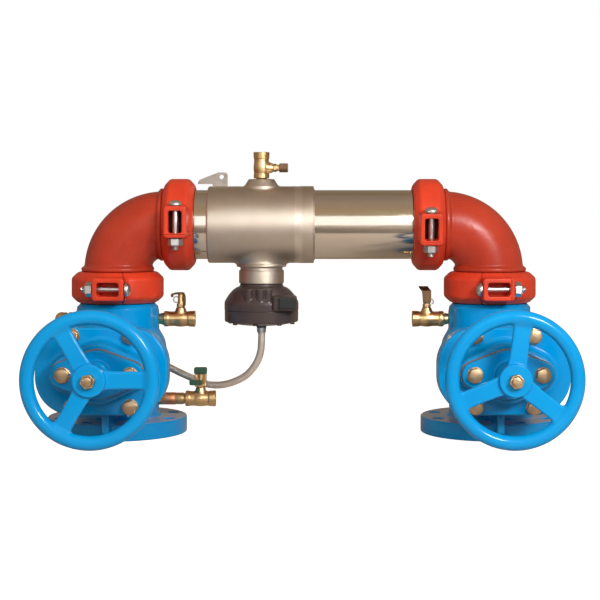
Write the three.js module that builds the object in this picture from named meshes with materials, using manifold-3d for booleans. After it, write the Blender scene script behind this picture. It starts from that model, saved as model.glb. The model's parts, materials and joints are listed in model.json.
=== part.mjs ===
// A four-inch reduced-pressure backflow preventer in an N-shaped run.
// Water enters the left flange, climbs through a gate valve and an elbow, crosses two check
// valves in a stainless housing, and goes down through the second elbow and gate valve.
// Millimetres, +Z up, water runs from -X to +X, and the handwheels face -Y.
import * as THREE from "three";
import { mergeVertices } from "three/addons/utils/BufferGeometryUtils.js";
import Module from "manifold-3d";

const wasm = await Module();
wasm.setup();

// ---- Driving dimensions ----

const GAP = 0.3; // clearance between solids that meet
const ROUND = 16; // sides of a large round piece
const WIDE_ROUND = 28; // sides of a flange
const FIT_ROUND = 12; // sides of the stem and its holes
const RELIEF_ROUND = 20; // sides of the relief valve
const SMALL_ROUND = 8; // sides of a small round piece

const PIPE_R = 57.15; // outside of a grooved pipe end
const BORE_R = 51; // waterway
const GROOVE_R = 55.04; // bottom of the coupling groove
const GROOVE_FROM_END = 15.88;
const GROOVE_WIDTH = 8.74;
const JOINT_GAP = 3; // between two coupled pipe ends

const VALVE_X = 308; // valve axes, either side of the middle
const ELBOW_REACH = 101.6; // elbow centre to end
const ELBOW_BEND_R = 76; // bend radius of the elbow's centre line
const ELBOW_R = 55; // the elbow between its grooved ends
const ELBOW_BORE_R = 50;

// The pipework and what hangs on it are measured from a level of their own, above the flange faces.
const PIPEWORK_LIFT = 5.5;
const RUN_Z = 337; // the horizontal run, above the pipework's level
const PIPE_END_Z = RUN_Z - ELBOW_REACH - JOINT_GAP; // top of the valves, above the same level
const VALVE_HEIGHT = PIPE_END_Z + PIPEWORK_LIFT; // flange face to grooved end
const RUN_END_X = VALVE_X - ELBOW_REACH - JOINT_GAP; // housing's ends

const FLANGE = { r: 114.3, thick: 27, holes: 8, holeR: 9.5, circleR: 95.25 };
const NECK_R = 67; // valve barrel above the flange
const BOSS_FACE = NECK_R + 0.5; // flat faces for pipe fittings, from the valve's axis
const NECK_TOP = VALVE_HEIGHT - 31;
const STEM_Z = 120; // height of the valve stems
const COVER = { width: 203, height: 134, corner: 47 }; // joint between valve body and bonnet
const BODY_FRONT = 170; // front of the valve body's cover flange
const BONNET_BACK = 172;
const BONNET_FRONT = 228;
const PLATE_FRONT = 243;
const WHEEL = { r: 101.6, rimR: 10.2, rimAt: 309, hubR: 24, hubBack: 292, hubFront: 320 };
const STEM_R = 12;
const COLLAR_R = 20.5; // thrust collar of the stem
const WEDGE_R = 57.5;
const WEDGE_HALF = 24.5; // half thickness of the wedge

const COUPLING = { r: 75.7, crown: 15.5, half: 25.7, sideR: 64.5, keyR: 55.4, keyFrom: 17.9 };
const BOLT_AT = 84; // coupling bolts, from the pipe axis
const BOLT_R = 5;

const HOUSING = { r: 63.5, inner: 60.5, left: -158, right: 17, tubeInner: 54 };
const RELIEF_X = -70; // axis of the relief valve and of the top test cock
const NECK_BOTTOM = 240.3; // lower end of the relief neck
const TOP_BOSS_Z = RUN_Z + 75.4; // face of the housing's boss
const RELIEF_SPLIT = 196; // joint between relief body and cover

const COCK_R = 13.5; // test cock barrel
const BALL_R = 9.5;
const COCK_Z = 181; // test cocks on the valve necks, above the pipework's level
const LOW_COCK_Z = 49; // test cock beside the inlet flange, above the same level
const HOSE_R = 6.1;

// ---- Finishes ----

const FINISHES = {
  blueEpoxy: { color: 0x0a93d8, roughness: 0.35, metalness: 0.0 },
  orangePaint: { color: 0xe8472b, roughness: 0.45, metalness: 0.0 },
  redPaint: { color: 0xbc432b, roughness: 0.5, metalness: 0.0 },
  stainless: { color: 0xa8998a, roughness: 0.3, metalness: 1.0 },
  zinc: { color: 0xc4c7ca, roughness: 0.35, metalness: 1.0 },
  brass: { color: 0xc9a063, roughness: 0.35, metalness: 1.0 },
  bronze: { color: 0xb8875a, roughness: 0.4, metalness: 1.0 },
  rubber: { color: 0x1c1c1c, roughness: 0.8, metalness: 0.0 },
  coatedIron: { color: 0x262626, roughness: 0.6, metalness: 0.0 },
  greenVinyl: { color: 0x3f5a45, roughness: 0.4, metalness: 0.0 },
  blackPlastic: { color: 0x3a3232, roughness: 0.45, metalness: 0.0 },
  whitePlastic: { color: 0xd8d6cf, roughness: 0.5, metalness: 0.0 },
  braid: { color: 0x8a7f76, roughness: 0.45, metalness: 0.8 },
};

// ---- Solids from three.js geometry ----

// A closed geometry as a solid, once its shared vertices are merged.
function solid(geometry) {
  const bare = geometry.index ? geometry.toNonIndexed() : geometry.clone();
  bare.deleteAttribute("normal");
  bare.deleteAttribute("uv");
  const merged = mergeVertices(bare, 1e-3);
  const vertProperties = merged.attributes.position.array;
  const triVerts = new Uint32Array(merged.index.array);
  return new wasm.Manifold(new wasm.Mesh({ numProp: 3, vertProperties, triVerts }));
}

// A solid's surface as a geometry with flat faces.
function surface(body) {
  const mesh = body.getMesh();
  const count = mesh.numVert;
  const places = new Float32Array(count * 3);
  for (let i = 0; i < count; i++) {
    const from = i * mesh.numProp;
    places.set(mesh.vertProperties.subarray(from, from + 3), i * 3);
  }
  const indexed = new THREE.BufferGeometry();
  indexed.setAttribute("position", new THREE.BufferAttribute(places, 3));
  indexed.setIndex(new THREE.BufferAttribute(mesh.triVerts, 1));
  const geometry = indexed.toNonIndexed();
  geometry.computeVertexNormals();
  return geometry;
}

function joined(...bodies) {
  return bodies.reduce((whole, body) => whole.add(body));
}

function cut(body, ...tools) {
  return tools.reduce((rest, tool) => rest.subtract(tool), body);
}

// Turns an outline's order so that the revolved or raised faces point outwards.
function anticlockwise(outline) {
  const area = outline.reduce((sum, [x, y], i) => {
    const [nextX, nextY] = outline[(i + 1) % outline.length];
    return sum + x * nextY - nextX * y;
  }, 0);
  return area > 0 ? outline : [...outline].reverse();
}

// How a shape drawn along local axes lies in the object: "front" heights count towards -Y.
const LATHE_TURNS = {
  x: (g) => g.rotateZ(-Math.PI / 2),
  y: (g) => g,
  z: (g) => g.rotateX(Math.PI / 2),
  front: (g) => g.rotateX(Math.PI),
};

const PRISM_TURNS = {
  z: (g) => g,
  front: (g) => g.rotateX(Math.PI / 2),
};

// A solid of revolution. The outline holds [radius, height] points, and either starts and
// ends on the axis or is a ring clear of it.
function turned(outline, axis = "z", at = [0, 0, 0], sides = ROUND) {
  const loop = anticlockwise(outline);
  const ring = loop.every(([r]) => r > 0);
  const points = (ring ? [...loop, loop[0]] : loop).map(([r, h]) => new THREE.Vector2(r, h));
  const geometry = LATHE_TURNS[axis](new THREE.LatheGeometry(points, sides));
  return solid(geometry.translate(...at));
}

// A plain rod from one height to another.
function rod(r, from, to, axis = "z", at = [0, 0, 0], sides = SMALL_ROUND) {
  return turned([[0, from], [r, from], [r, to], [0, to]], axis, at, sides);
}

// A flat outline raised from one height to another.
function prism(shape, from, to, axis = "z", at = [0, 0, 0], curveSegments = 2) {
  const options = { depth: to - from, bevelEnabled: false, curveSegments };
  const geometry = new THREE.ExtrudeGeometry(shape, options).translate(0, 0, from);
  return solid(PRISM_TURNS[axis](geometry).translate(...at));
}

function box(low, high) {
  const size = high.map((value, i) => value - low[i]);
  const middle = high.map((value, i) => (value + low[i]) / 2);
  return solid(new THREE.BoxGeometry(...size).translate(...middle));
}

function polygon(points) {
  return new THREE.Shape(anticlockwise(points).map(([x, y]) => new THREE.Vector2(x, y)));
}

function circle(r, sides) {
  const points = Array.from({ length: sides }, (_, i) => {
    const turn = (2 * Math.PI * i) / sides;
    return [r * Math.cos(turn), r * Math.sin(turn)];
  });
  return polygon(points);
}

function roundedRectangle(width, height, corner) {
  const x = width / 2;
  const y = height / 2;
  const shape = new THREE.Shape();
  shape.moveTo(-x + corner, -y);
  shape.lineTo(x - corner, -y);
  shape.absarc(x - corner, -y + corner, corner, -Math.PI / 2, 0, false);
  shape.lineTo(x, y - corner);
  shape.absarc(x - corner, y - corner, corner, 0, Math.PI / 2, false);
  shape.lineTo(-x + corner, y);
  shape.absarc(-x + corner, y - corner, corner, Math.PI / 2, Math.PI, false);
  shape.lineTo(-x, -y + corner);
  shape.absarc(-x + corner, -y + corner, corner, Math.PI, 1.5 * Math.PI, false);
  return shape;
}

// A two-bolt outline: straight sides run from a round middle to a round end at either side.
function twoBoltOutline(middleR, endR, reach) {
  const lean = Math.asin((middleR - endR) / reach);
  const quarter = Math.PI / 2;
  const shape = new THREE.Shape();
  shape.absarc(reach, 0, endR, lean - quarter, quarter - lean);
  shape.absarc(0, 0, middleR, quarter - lean, quarter + lean);
  shape.absarc(-reach, 0, endR, quarter + lean, 3 * quarter - lean);
  shape.absarc(0, 0, middleR, 3 * quarter - lean, 3 * quarter + lean);
  return shape;
}

// A regular hexagon by its width across flats.
function hexagon(acrossFlats, startTurn = 0) {
  const r = acrossFlats / Math.sqrt(3);
  const corners = Array.from({ length: 6 }, (_, i) => {
    const turn = startTurn + (i * Math.PI) / 3;
    return [r * Math.cos(turn), r * Math.sin(turn)];
  });
  return polygon(corners);
}

// A rod or tube swept along a curve.
function swept(shape, curve, steps) {
  return solid(new THREE.ExtrudeGeometry(shape, { extrudePath: curve, steps }));
}

function piece(name, body, finish) {
  const mesh = new THREE.Mesh(surface(body), new THREE.MeshStandardMaterial(FINISHES[finish]));
  mesh.name = name;
  return mesh;
}

function group(...members) {
  const made = new THREE.Group();
  made.add(...members);
  return made;
}

// The groove that a coupling's key sits in, near the end of a pipe.
function groove(endAt, inward, axis, at) {
  const near = endAt + inward * GROOVE_FROM_END;
  const far = near + inward * GROOVE_WIDTH;
  const ring = [[GROOVE_R, near], [PIPE_R + 3, near], [PIPE_R + 3, far], [GROOVE_R, far]];
  return turned(ring, axis, at);
}

// ---- Gate valve: flanged below, grooved above, stem towards the front ----

function valveBody(bosses) {
  const flange = rod(FLANGE.r, 0, FLANGE.thick, "z", [0, 0, 0], WIDE_ROUND);
  const barrel = turned([
    [0, 5], [NECK_R, 5], [NECK_R, NECK_TOP], [62, NECK_TOP + 5], [PIPE_R, NECK_TOP + 5],
    [PIPE_R, VALVE_HEIGHT], [0, VALVE_HEIGHT],
  ]);
  const drum = turned([[0, 84], [75, 84], [75, 156], [0, 156]]);
  const at = [0, 0, STEM_Z];
  const throat = prism(roundedRectangle(156, 82, 34), 0, 156, "front", at);
  const face = roundedRectangle(COVER.width, COVER.height, COVER.corner);
  const coverFlange = prism(face, 152, BODY_FRONT, "front", at);
  const rib = box([-5, -150, 20], [5, -60, 82]);
  const waterway = turned([[0, -1], [BORE_R, -1], [BORE_R, VALVE_HEIGHT + 1], [0, VALVE_HEIGHT + 1]]);
  const seatPocket = turned([[0, 95], [65, 95], [65, 145], [0, 145]]);
  const throatPocket = prism(roundedRectangle(130, 50, 6), 0, BODY_FRONT + 1, "front", at, 1);
  const outside = joined(flange, barrel, drum, throat, coverFlange, rib, ...bosses);
  const holes = Array.from({ length: FLANGE.holes }, (_, i) => {
    const turn = ((i + 0.5) * 2 * Math.PI) / FLANGE.holes;
    const place = [FLANGE.circleR * Math.cos(turn), FLANGE.circleR * Math.sin(turn), 0];
    return rod(FLANGE.holeR, -1, FLANGE.thick + 1, "z", place, 8);
  });
  const channel = groove(VALVE_HEIGHT, -1, "z", [0, 0, 0]);
  return cut(outside, waterway, seatPocket, throatPocket, channel, ...holes);
}

// The radius of a hole whose flat sides clear a turning piece of radius r.
function clearing(r) {
  return (r + GAP) / Math.cos(Math.PI / FIT_ROUND);
}

// A round boss on the valve's neck with a tapped hole into the waterway.
function neckBoss(side, z) {
  return rod(16, side * 60, side * BOSS_FACE, "x", [0, 0, z + PIPEWORK_LIFT]);
}

function bonnet() {
  const at = [0, 0, STEM_Z];
  const face = roundedRectangle(COVER.width, COVER.height, COVER.corner);
  const flange = prism(face, BONNET_BACK, 194, "front", at);
  const dome = prism(twoBoltOutline(47.5, 29, 45), 193, BONNET_FRONT, "front", at);
  const pocket = prism(roundedRectangle(64, 54, 12), BONNET_BACK - 1, 206, "front", at, 1);
  const shaftHole = rod(clearing(STEM_R), 200, 230, "front", at, FIT_ROUND);
  const collarSeat = rod(clearing(COLLAR_R), 216, 230, "front", at, FIT_ROUND);
  return cut(joined(flange, dome), pocket, shaftHole, collarSeat);
}

function bonnetGasket() {
  const at = [0, 0, STEM_Z];
  const from = BODY_FRONT + GAP;
  const to = BONNET_BACK - GAP;
  const sheet = prism(roundedRectangle(176, 92, 36), from, to, "front", at, 1);
  const opening = prism(roundedRectangle(132, 52, 7), from - 1, to + 1, "front", at, 1);
  return cut(sheet, opening);
}

function sealPlate() {
  const at = [0, 0, STEM_Z];
  const back = BONNET_FRONT + 2 * GAP;
  const plate = prism(twoBoltOutline(37, 19.5, 50.5), back, PLATE_FRONT, "front", at);
  const gland = turned([[0, 240], [22, 240], [22, 256], [19, 262], [0, 262]], "front", at, FIT_ROUND);
  const shaftHole = rod(clearing(STEM_R), 220, 270, "front", at, FIT_ROUND);
  return cut(joined(plate, gland), shaftHole);
}

// The screw stem turns in place: thread, thrust collar, shaft, and the seat for the wheel.
function stem() {
  return turned([
    [0, 62], [STEM_R, 62], [STEM_R, 216.5], [COLLAR_R, 216.5], [COLLAR_R, 227.5], [STEM_R, 227.5],
    [STEM_R, 291.6], [9, 291.6], [9, 320.3], [7, 320.3], [7, 334], [0, 334],
  ], "front", [0, 0, STEM_Z], FIT_ROUND);
}

function wedgeNut() {
  const at = [0, 0, STEM_Z];
  const block = prism(roundedRectangle(34, 34, 3), 66, 82, "front", at, 1);
  return cut(block, rod(clearing(STEM_R), 60, 90, "front", at, FIT_ROUND));
}

// The closed wedge fills the waterway, and climbs into the bonnet to open.
function wedge() {
  const low = STEM_Z - WEDGE_HALF;
  const high = STEM_Z + WEDGE_HALF;
  const disc = turned([[0, low], [WEDGE_R, low], [WEDGE_R, high], [0, high]]);
  const shoulder = box([-WEDGE_R, -58, low], [WEDGE_R, 0, high]);
  const hook = box([-24, -92, STEM_Z - 23], [24, -50, STEM_Z + 23]);
  const nutSlot = box([-40, -82.3, STEM_Z - 17.3], [40, -65.7, STEM_Z + 17.3]);
  const stemHole = rod(STEM_R + 1.5, -70, 100, "front", [0, 0, STEM_Z], FIT_ROUND);
  return cut(joined(disc, shoulder, hook), nutSlot, stemHole);
}

function handwheel(spokeTurn) {
  const rimR = WHEEL.r - WHEEL.rimR;
  const rim = solid(new THREE.TorusGeometry(rimR, WHEEL.rimR, 6, 24).rotateX(Math.PI / 2)
    .translate(0, -WHEEL.rimAt, 0));
  const hub = rod(WHEEL.hubR, WHEEL.hubBack, WHEEL.hubFront, "front", [0, 0, 0], FIT_ROUND);
  const spokes = [0, 1, 2].map((i) => {
    const flat = new THREE.BoxGeometry(rimR - 8, 9, 26);
    flat.translate((rimR + 8) / 2, -WHEEL.rimAt, 0);
    return solid(flat.rotateY(-(spokeTurn + (i * 2 * Math.PI) / 3)));
  });
  const seat = rod(9 + GAP, 290, 322, "front", [0, 0, 0], FIT_ROUND);
  return cut(joined(rim, hub, ...spokes), seat).translate([0, 0, STEM_Z]);
}

function wheelNut() {
  const at = [0, 0, STEM_Z];
  const nut = prism(hexagon(19), 320.6, 331, "front", at);
  return cut(nut, rod(7 + GAP, 318, 334, "front", at, FIT_ROUND));
}

function gateValve(side, x, spokeTurn, bosses) {
  const valve = group(
    piece(side + "_valve_body", valveBody(bosses), "blueEpoxy"),
    piece(side + "_bonnet_gasket", bonnetGasket(), "rubber"),
    piece(side + "_bonnet", bonnet(), "blueEpoxy"),
    piece(side + "_seal_plate", sealPlate(), "blueEpoxy"),
    piece(side + "_valve_stem", stem(), "bronze"),
    piece(side + "_wedge_nut", wedgeNut(), "bronze"),
    piece(side + "_wedge", wedge(), "coatedIron"),
    piece(side + "_handwheel", handwheel(spokeTurn), "blueEpoxy"),
    piece(side + "_handwheel_nut", wheelNut(), "bronze"),
  );
  valve.position.x = x;
  return valve;
}

// ---- Grooved coupling: pipe along local X, bolts along local Z at front and back ----

// The front bolt pad. Its window shows the bolt, with the head above and the nut below.
function boltPad() {
  const pad = box([-18.5, -97, -21], [18.5, -60, 31]);
  const window = box([-11, -98, -13], [11, -76.4, 23]);
  const hole = rod(BOLT_R + 1, -30, 40, "z", [0, -BOLT_AT, 0], 8);
  return cut(pad, window, hole);
}

function couplingBody(spin) {
  const { r, crown, half, sideR, keyR, keyFrom } = COUPLING;
  const outside = turned([
    [0, -half], [sideR, -half], [r, -crown], [r, crown], [sideR, half], [0, half],
  ], "x");
  const inside = turned([
    [0, -half - 1], [keyR, -half - 1], [keyR, -keyFrom], [69.5, 1 - keyFrom],
    [69.5, keyFrom - 1], [keyR, keyFrom], [keyR, half + 1], [0, half + 1],
  ], "x");
  const at = [0, -BOLT_AT, 0];
  const pockets = joined(rod(12, 31, 44, "z", at, 8), rod(13.5, -38, -21, "z", at, 8));
  const pad = boltPad();
  const pads = joined(outside, pad, pad.rotate([180, 0, 0]));
  const pocketed = cut(pads, pockets, pockets.rotate([180, 0, 0]));
  return cut(pocketed.rotate([spin, 0, 0]), inside);
}

// The two halves are the same casting, so the split leans from the front nut to the back nut.
function couplingHalves(spin) {
  const lean = Math.atan2(13, BOLT_AT) + THREE.MathUtils.degToRad(spin);
  const above = new THREE.BoxGeometry(120, 260, 130).translate(0, 0, 65 + GAP / 2);
  const keep = solid(above.rotateX(lean));
  const upper = couplingBody(spin).intersect(keep);
  return { upper, lower: upper.rotate([180, 0, 0]) };
}

function couplingGasket() {
  return turned([
    [57.45, -16.5], [69.2, -16.5], [69.2, 16.5], [57.45, 16.5],
    [57.45, 8], [63, 8], [63, -8], [57.45, -8],
  ], "x");
}

function couplingBolt() {
  const at = [0, -BOLT_AT, 0];
  const head = turned([[0, 31.3], [11, 31.3], [11, 35], [7, 39.5], [0, 39.5]], "z", at, 12);
  const shank = rod(BOLT_R, -43.5, 33, "z", at, 8);
  const nut = prism(hexagon(21), -33, -21.3, "z", at);
  return joined(head, shank, nut);
}

// The spin is in degrees about the pipe and moves the front bolt toward its nut.
function coupling(name, x, z, turn, spin = 0) {
  const { upper, lower } = couplingHalves(spin);
  const bolt = couplingBolt().rotate([spin, 0, 0]);
  const made = group(
    piece(name + "_head_half", upper, "orangePaint"),
    piece(name + "_nut_half", lower, "orangePaint"),
    piece(name + "_gasket", couplingGasket(), "rubber"),
    piece(name + "_front_bolt", bolt, "zinc"),
    piece(name + "_back_bolt", bolt.rotate([180, 0, 0]), "zinc"),
  );
  made.position.set(x, 0, z);
  made.rotation.y = turn;
  return made;
}

// ---- Elbow ----

// Straight up, round a quarter bend, and straight out along +X.
class BendPath extends THREE.Curve {
  getPoint(t) {
    const straight = ELBOW_REACH - ELBOW_BEND_R;
    const bend = (ELBOW_BEND_R * Math.PI) / 2;
    const along = t * (2 * straight + bend);
    if (along <= straight) return new THREE.Vector3(0, 0, along);
    if (along >= straight + bend) {
      return new THREE.Vector3(ELBOW_BEND_R + along - straight - bend, 0, ELBOW_REACH);
    }
    const turn = (along - straight) / ELBOW_BEND_R;
    const x = ELBOW_BEND_R * (1 - Math.cos(turn));
    return new THREE.Vector3(x, 0, straight + ELBOW_BEND_R * Math.sin(turn));
  }
}

// A grooved end with a bead behind it, thicker than the elbow's own wall.
function elbowEnd(endAt, inward, axis, at) {
  const near = GROOVE_FROM_END;
  const far = near + GROOVE_WIDTH;
  const outline = [
    [ELBOW_BORE_R, 0], [PIPE_R, 0], [PIPE_R, near], [GROOVE_R, near], [GROOVE_R, far],
    [PIPE_R, far], [60, 27], [60, 30.5], [ELBOW_R, 35], [ELBOW_BORE_R, 35],
  ];
  return turned(outline.map(([r, along]) => [r, endAt + inward * along]), axis, at);
}

function elbow() {
  const wall = circle(ELBOW_R, ROUND);
  wall.holes.push(circle(ELBOW_BORE_R, ROUND));
  const tube = swept(wall, new BendPath(), 8);
  const low = elbowEnd(0, 1, "z", [0, 0, 0]);
  const far = elbowEnd(ELBOW_REACH, -1, "x", [0, 0, ELBOW_REACH]);
  return joined(tube, low, far);
}

function elbowAt(name, x, turn) {
  const mesh = piece(name, elbow(), "redPaint");
  mesh.position.set(x, 0, PIPE_END_Z + JOINT_GAP);
  mesh.rotation.z = turn;
  return mesh;
}

// ---- Check valve housing ----

function housing() {
  const end = RUN_END_X;
  const near = end - GROOVE_FROM_END;
  const far = near - GROOVE_WIDTH;
  const at = [0, 0, RUN_Z];
  const { r, inner, left, right, tubeInner } = HOUSING;
  const tube = turned([
    [PIPE_R, -end], [PIPE_R, -near], [GROOVE_R, -near], [GROOVE_R, -far], [PIPE_R, -far],
    [PIPE_R, left], [r, left + 3], [r, right - 3], [PIPE_R, right + 2],
    [PIPE_R, far], [GROOVE_R, far], [GROOVE_R, near], [PIPE_R, near], [PIPE_R, end],
    [BORE_R, end], [BORE_R, far - 4], [tubeInner, far - 8], [tubeInner, right],
    [inner, right - 5], [inner, left + 5], [BORE_R, left], [BORE_R, -end],
  ], "x", at);
  const below = [RELIEF_X, 0, 0];
  const neck = turned([
    [0, NECK_BOTTOM], [36, NECK_BOTTOM], [36, 258], [38.5, 258], [38.5, 290], [0, 290],
  ], "z", below);
  const neckWaterway = rod(32, NECK_BOTTOM - 1, RUN_Z - 20, "z", below, ROUND);
  const boss = turned([
    [0, RUN_Z + 55], [28, RUN_Z + 55], [28, RUN_Z + 63], [22, RUN_Z + 69], [22, TOP_BOSS_Z],
    [0, TOP_BOSS_Z],
  ], "z", below, SMALL_ROUND);
  const bossHole = rod(6, RUN_Z + 40, RUN_Z + 80, "z", below);
  const insideTube = rod(inner, RELIEF_X - 60, RELIEF_X + 60, "x", at, ROUND);
  const stubs = cut(joined(neck, boss), insideTube);
  return cut(joined(tube, stubs, tagTab()), neckWaterway, bossHole);
}

// The thin welded tab that a test tag hangs from.
function tagTab() {
  const outline = polygon([
    [-176, 404], [-151, 404], [-151, 398], [-126, 398], [-126, 421], [-129, 424],
    [-142, 423], [-174, 410],
  ]);
  const plate = prism(outline, -1, 1, "front");
  return cut(plate, rod(3.6, -3, 3, "front", [-136, 0, 416], 12));
}

// ---- Check module: seat ring with hinge lugs and pin, clapper, and torsion spring ----

const CHECKS = {
  inlet: { x: -135, outer: 60.2, bore: 38, disc: 43, hinge: 47 },
  outlet: { x: 45, outer: 53.7, bore: 33, disc: 38, hinge: 42 },
};
const PIN_X = 7; // hinge pin, downstream of the seat's face
const PIN_R = 3;

function checkSeat({ outer, bore, hinge }) {
  const ring = turned([[bore, -10], [outer, -10], [outer, 0], [bore, 0]], "x");
  const lugs = [-1, 1].map((side) => {
    const near = side * 16.5;
    const far = side * 20;
    const low = [-1, Math.min(near, far), hinge - 6];
    return box(low, [PIN_X + 5, Math.max(near, far), hinge + 5]);
  });
  const pin = rod(PIN_R, -18, 18, "y", [PIN_X, 0, hinge]);
  return joined(ring, ...lugs, pin);
}

function checkClapper({ disc, hinge }) {
  const plate = turned([
    [0, GAP], [disc, GAP], [disc, 4.5], [disc - 6, 7.5], [0, 7.5],
  ], "x");
  const knuckle = rod(6, -6, 6, "y", [PIN_X, 0, hinge]);
  const arm = box([4, -6, 8], [12, 6, hinge - 3]);
  const pinHole = rod(PIN_R + GAP, -10, 10, "y", [PIN_X, 0, hinge]);
  return cut(joined(plate, knuckle, arm), pinHole);
}

class CoilPath extends THREE.Curve {
  constructor(r, turns, length) {
    super();
    Object.assign(this, { r, turns, length });
  }

  getPoint(t) {
    const turn = 2 * Math.PI * this.turns * t;
    return new THREE.Vector3(this.r * Math.cos(turn), this.r * Math.sin(turn), this.length * t);
  }
}

function torsionSpring({ hinge }) {
  const coil = new THREE.ExtrudeGeometry(circle(0.9, 4), {
    extrudePath: new CoilPath(5, 4, 6.6),
    steps: 26,
  });
  return solid(coil.rotateX(-Math.PI / 2).translate(PIN_X, 7.8, hinge));
}

function checkModule(side) {
  const sizes = CHECKS[side];
  const module = group(
    piece(side + "_check_seat", checkSeat(sizes), "whitePlastic"),
    piece(side + "_check_clapper", checkClapper(sizes), "stainless"),
    piece(side + "_check_spring", torsionSpring(sizes), "stainless"),
  );
  module.position.set(sizes.x, 0, RUN_Z);
  return module;
}

// ---- Relief valve, hanging below the housing ----

function reliefBody() {
  const split = RELIEF_SPLIT + GAP / 2;
  const shell = turned([
    [28, 240], [35.3, 240], [35.3, 233], [50, 226], [58, 217], [61, 212], [61, split],
    [53, split], [53, 211], [22, 211], [22, 216], [28, 219],
  ], "z", [0, 0, 0], RELIEF_ROUND);
  const chamber = rod(52, 190, 214, "z", [0, 0, 0], RELIEF_ROUND);
  const portBlock = cut(box([22, -64, 197.5], [59, -20, 221]), chamber);
  const drain = box([-22, 40, 198], [22, 75, 208]);
  return cut(joined(shell, portBlock), drain);
}

function reliefCover() {
  const split = RELIEF_SPLIT - GAP / 2;
  return turned([
    [4.5, 161], [8, 161], [8, 170.5], [44, 170.5], [61, 177.5], [61, split],
    [52, split], [52, 176], [4.5, 176],
  ], "z", [0, 0, 0], RELIEF_ROUND);
}

// Seat disc, stem and diaphragm plate slide down together to spill water.
function reliefDisc() {
  return turned([
    [0, 186], [48, 186], [48, 190], [7, 190], [7, 203], [26, 203], [26, 210.7], [7, 210.7],
    [7, 228], [0, 228],
  ], "z", [0, 0, 0], FIT_ROUND);
}

function reliefSpring() {
  const curve = new CoilPath(41, 3, 16.2);
  const coil = new THREE.ExtrudeGeometry(circle(1.4, 4), { extrudePath: curve, steps: 30 });
  return solid(coil.translate(0, 0, 192.3));
}

function reliefValve() {
  const valve = group(
    piece("relief_valve_body", reliefBody(), "blackPlastic"),
    piece("relief_valve_cover", reliefCover(), "blackPlastic"),
    piece("relief_valve_disc", reliefDisc(), "brass"),
    piece("relief_valve_spring", reliefSpring(), "stainless"),
  );
  valve.position.x = RELIEF_X;
  return valve;
}

// ---- Sensing hose, from the relief cover to the inlet valve's neck ----

function sensingHose() {
  const elbowX = -VALVE_X - NECK_R - 26;
  const bends = [
    [RELIEF_X, 0, 158], [RELIEF_X, 2, 142], [RELIEF_X - 3, 8, 125], [-81, 14, 107], [-98, 22, 88],
    [-117, 30, 76], [-138, 38, 69], [-163, 47, 69], [-194, 58, 78], [-230, 72, 93], [-275, 88, 116],
    [-320, 96, 143], [-362, 86, 166], [-392, 58, 179], [elbowX, 22, COCK_Z],
  ];
  const curve = new THREE.CatmullRomCurve3(bends.map((p) => new THREE.Vector3(...p)));
  const hose = swept(circle(HOSE_R, 6), curve, 30);
  const lowFerrule = rod(8, 150, 160.7, "z", [RELIEF_X, 0, 0]);
  const place = [elbowX, 0, COCK_Z];
  const farFerrule = rod(8.5, -30, 0, "front", place);
  const arm = rod(10, 0, 26 - BOSS_FACE + NECK_R - GAP, "x", place);
  const corner = solid(new THREE.SphereGeometry(12, 10, 6).translate(...place));
  return joined(hose, lowFerrule, farFerrule, arm, corner);
}

// ---- Test cock: barrel along local X, stem up local Z ----

// nipple: length of the pipe nipple before the barrel. ballAt and length count from the barrel.
function cockBarrel({ nipple, taper, ballAt, length }) {
  const start = nipple + taper;
  const ball = nipple + ballAt;
  const end = nipple + length;
  const tube = turned([
    [4.5, 0], [9.5, 0], [9.5, nipple + 1], [COCK_R, start + 1], [COCK_R, end], [7.5, end],
    [7.5, ball + BALL_R - 1], [BALL_R + GAP, ball + BALL_R - 1], [BALL_R + GAP, ball - 10],
    [4.5, ball - 10],
  ], "x", [0, 0, 0], FIT_ROUND);
  const at = [ball, 0, 0];
  const neck = cut(rod(6.5, 8, 19, "z", at), rod(COCK_R - 2, ball - 12, ball + 12, "x"));
  return cut(joined(tube, neck), rod(4.5, 5, 25, "z", at));
}

// The ball, its stem and the bent bar of the handle turn together. spin is the bar's own turn
// about the stem, in degrees.
function cockHandle({ nipple, ballAt, top, width, spin }) {
  const sphere = solid(new THREE.SphereGeometry(BALL_R - 0.2, 10, 6));
  const through = rod(4.5, -12, 12, "x");
  const shaft = rod(4.1, 3, 21);
  const bentBar = polygon([
    [-4.5, 19.5], [4.5, 19.5], [5, top], [-11, top], [-15, top - 3], [-14, top - 6],
    [-4.5, top - 7],
  ]);
  const bar = prism(bentBar, -width / 2, width / 2, "front").rotate([0, 0, spin]);
  return joined(cut(sphere, through), shaft, bar).translate([nipple + ballAt, 0, 0]);
}

// The test cocks in the order of the flow: where each barrel starts, and its proportions.
const NECK_SHORT = { nipple: 0, taper: 5, ballAt: 36.5, length: 60.5, width: 11 };
const NECK_FACE = BOSS_FACE + GAP;
const COCKS = [
  { x: NECK_FACE - VALVE_X, z: LOW_COCK_Z, nipple: 41.5, taper: 3, ballAt: 28, length: 53,
    top: 53, width: 20, spin: 90, faces: "right" },
  { x: NECK_FACE - VALVE_X, z: COCK_Z, ...NECK_SHORT, top: 43, spin: 0, faces: "right" },
  { x: RELIEF_X, z: TOP_BOSS_Z + GAP, nipple: 0, taper: 1, ballAt: 18.3, length: 44.3,
    top: 44, width: 14, spin: -90, faces: "up" },
  { x: VALVE_X - NECK_FACE, z: COCK_Z, ...NECK_SHORT, top: 52, spin: 180, faces: "left" },
];

// Turns a test cock's barrel from +X towards the way its outlet faces.
const COCK_TURNS = {
  right: () => {},
  left: (cock) => cock.rotateZ(Math.PI),
  up: (cock) => cock.rotateY(-Math.PI / 2).rotateX(Math.PI),
};

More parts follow.
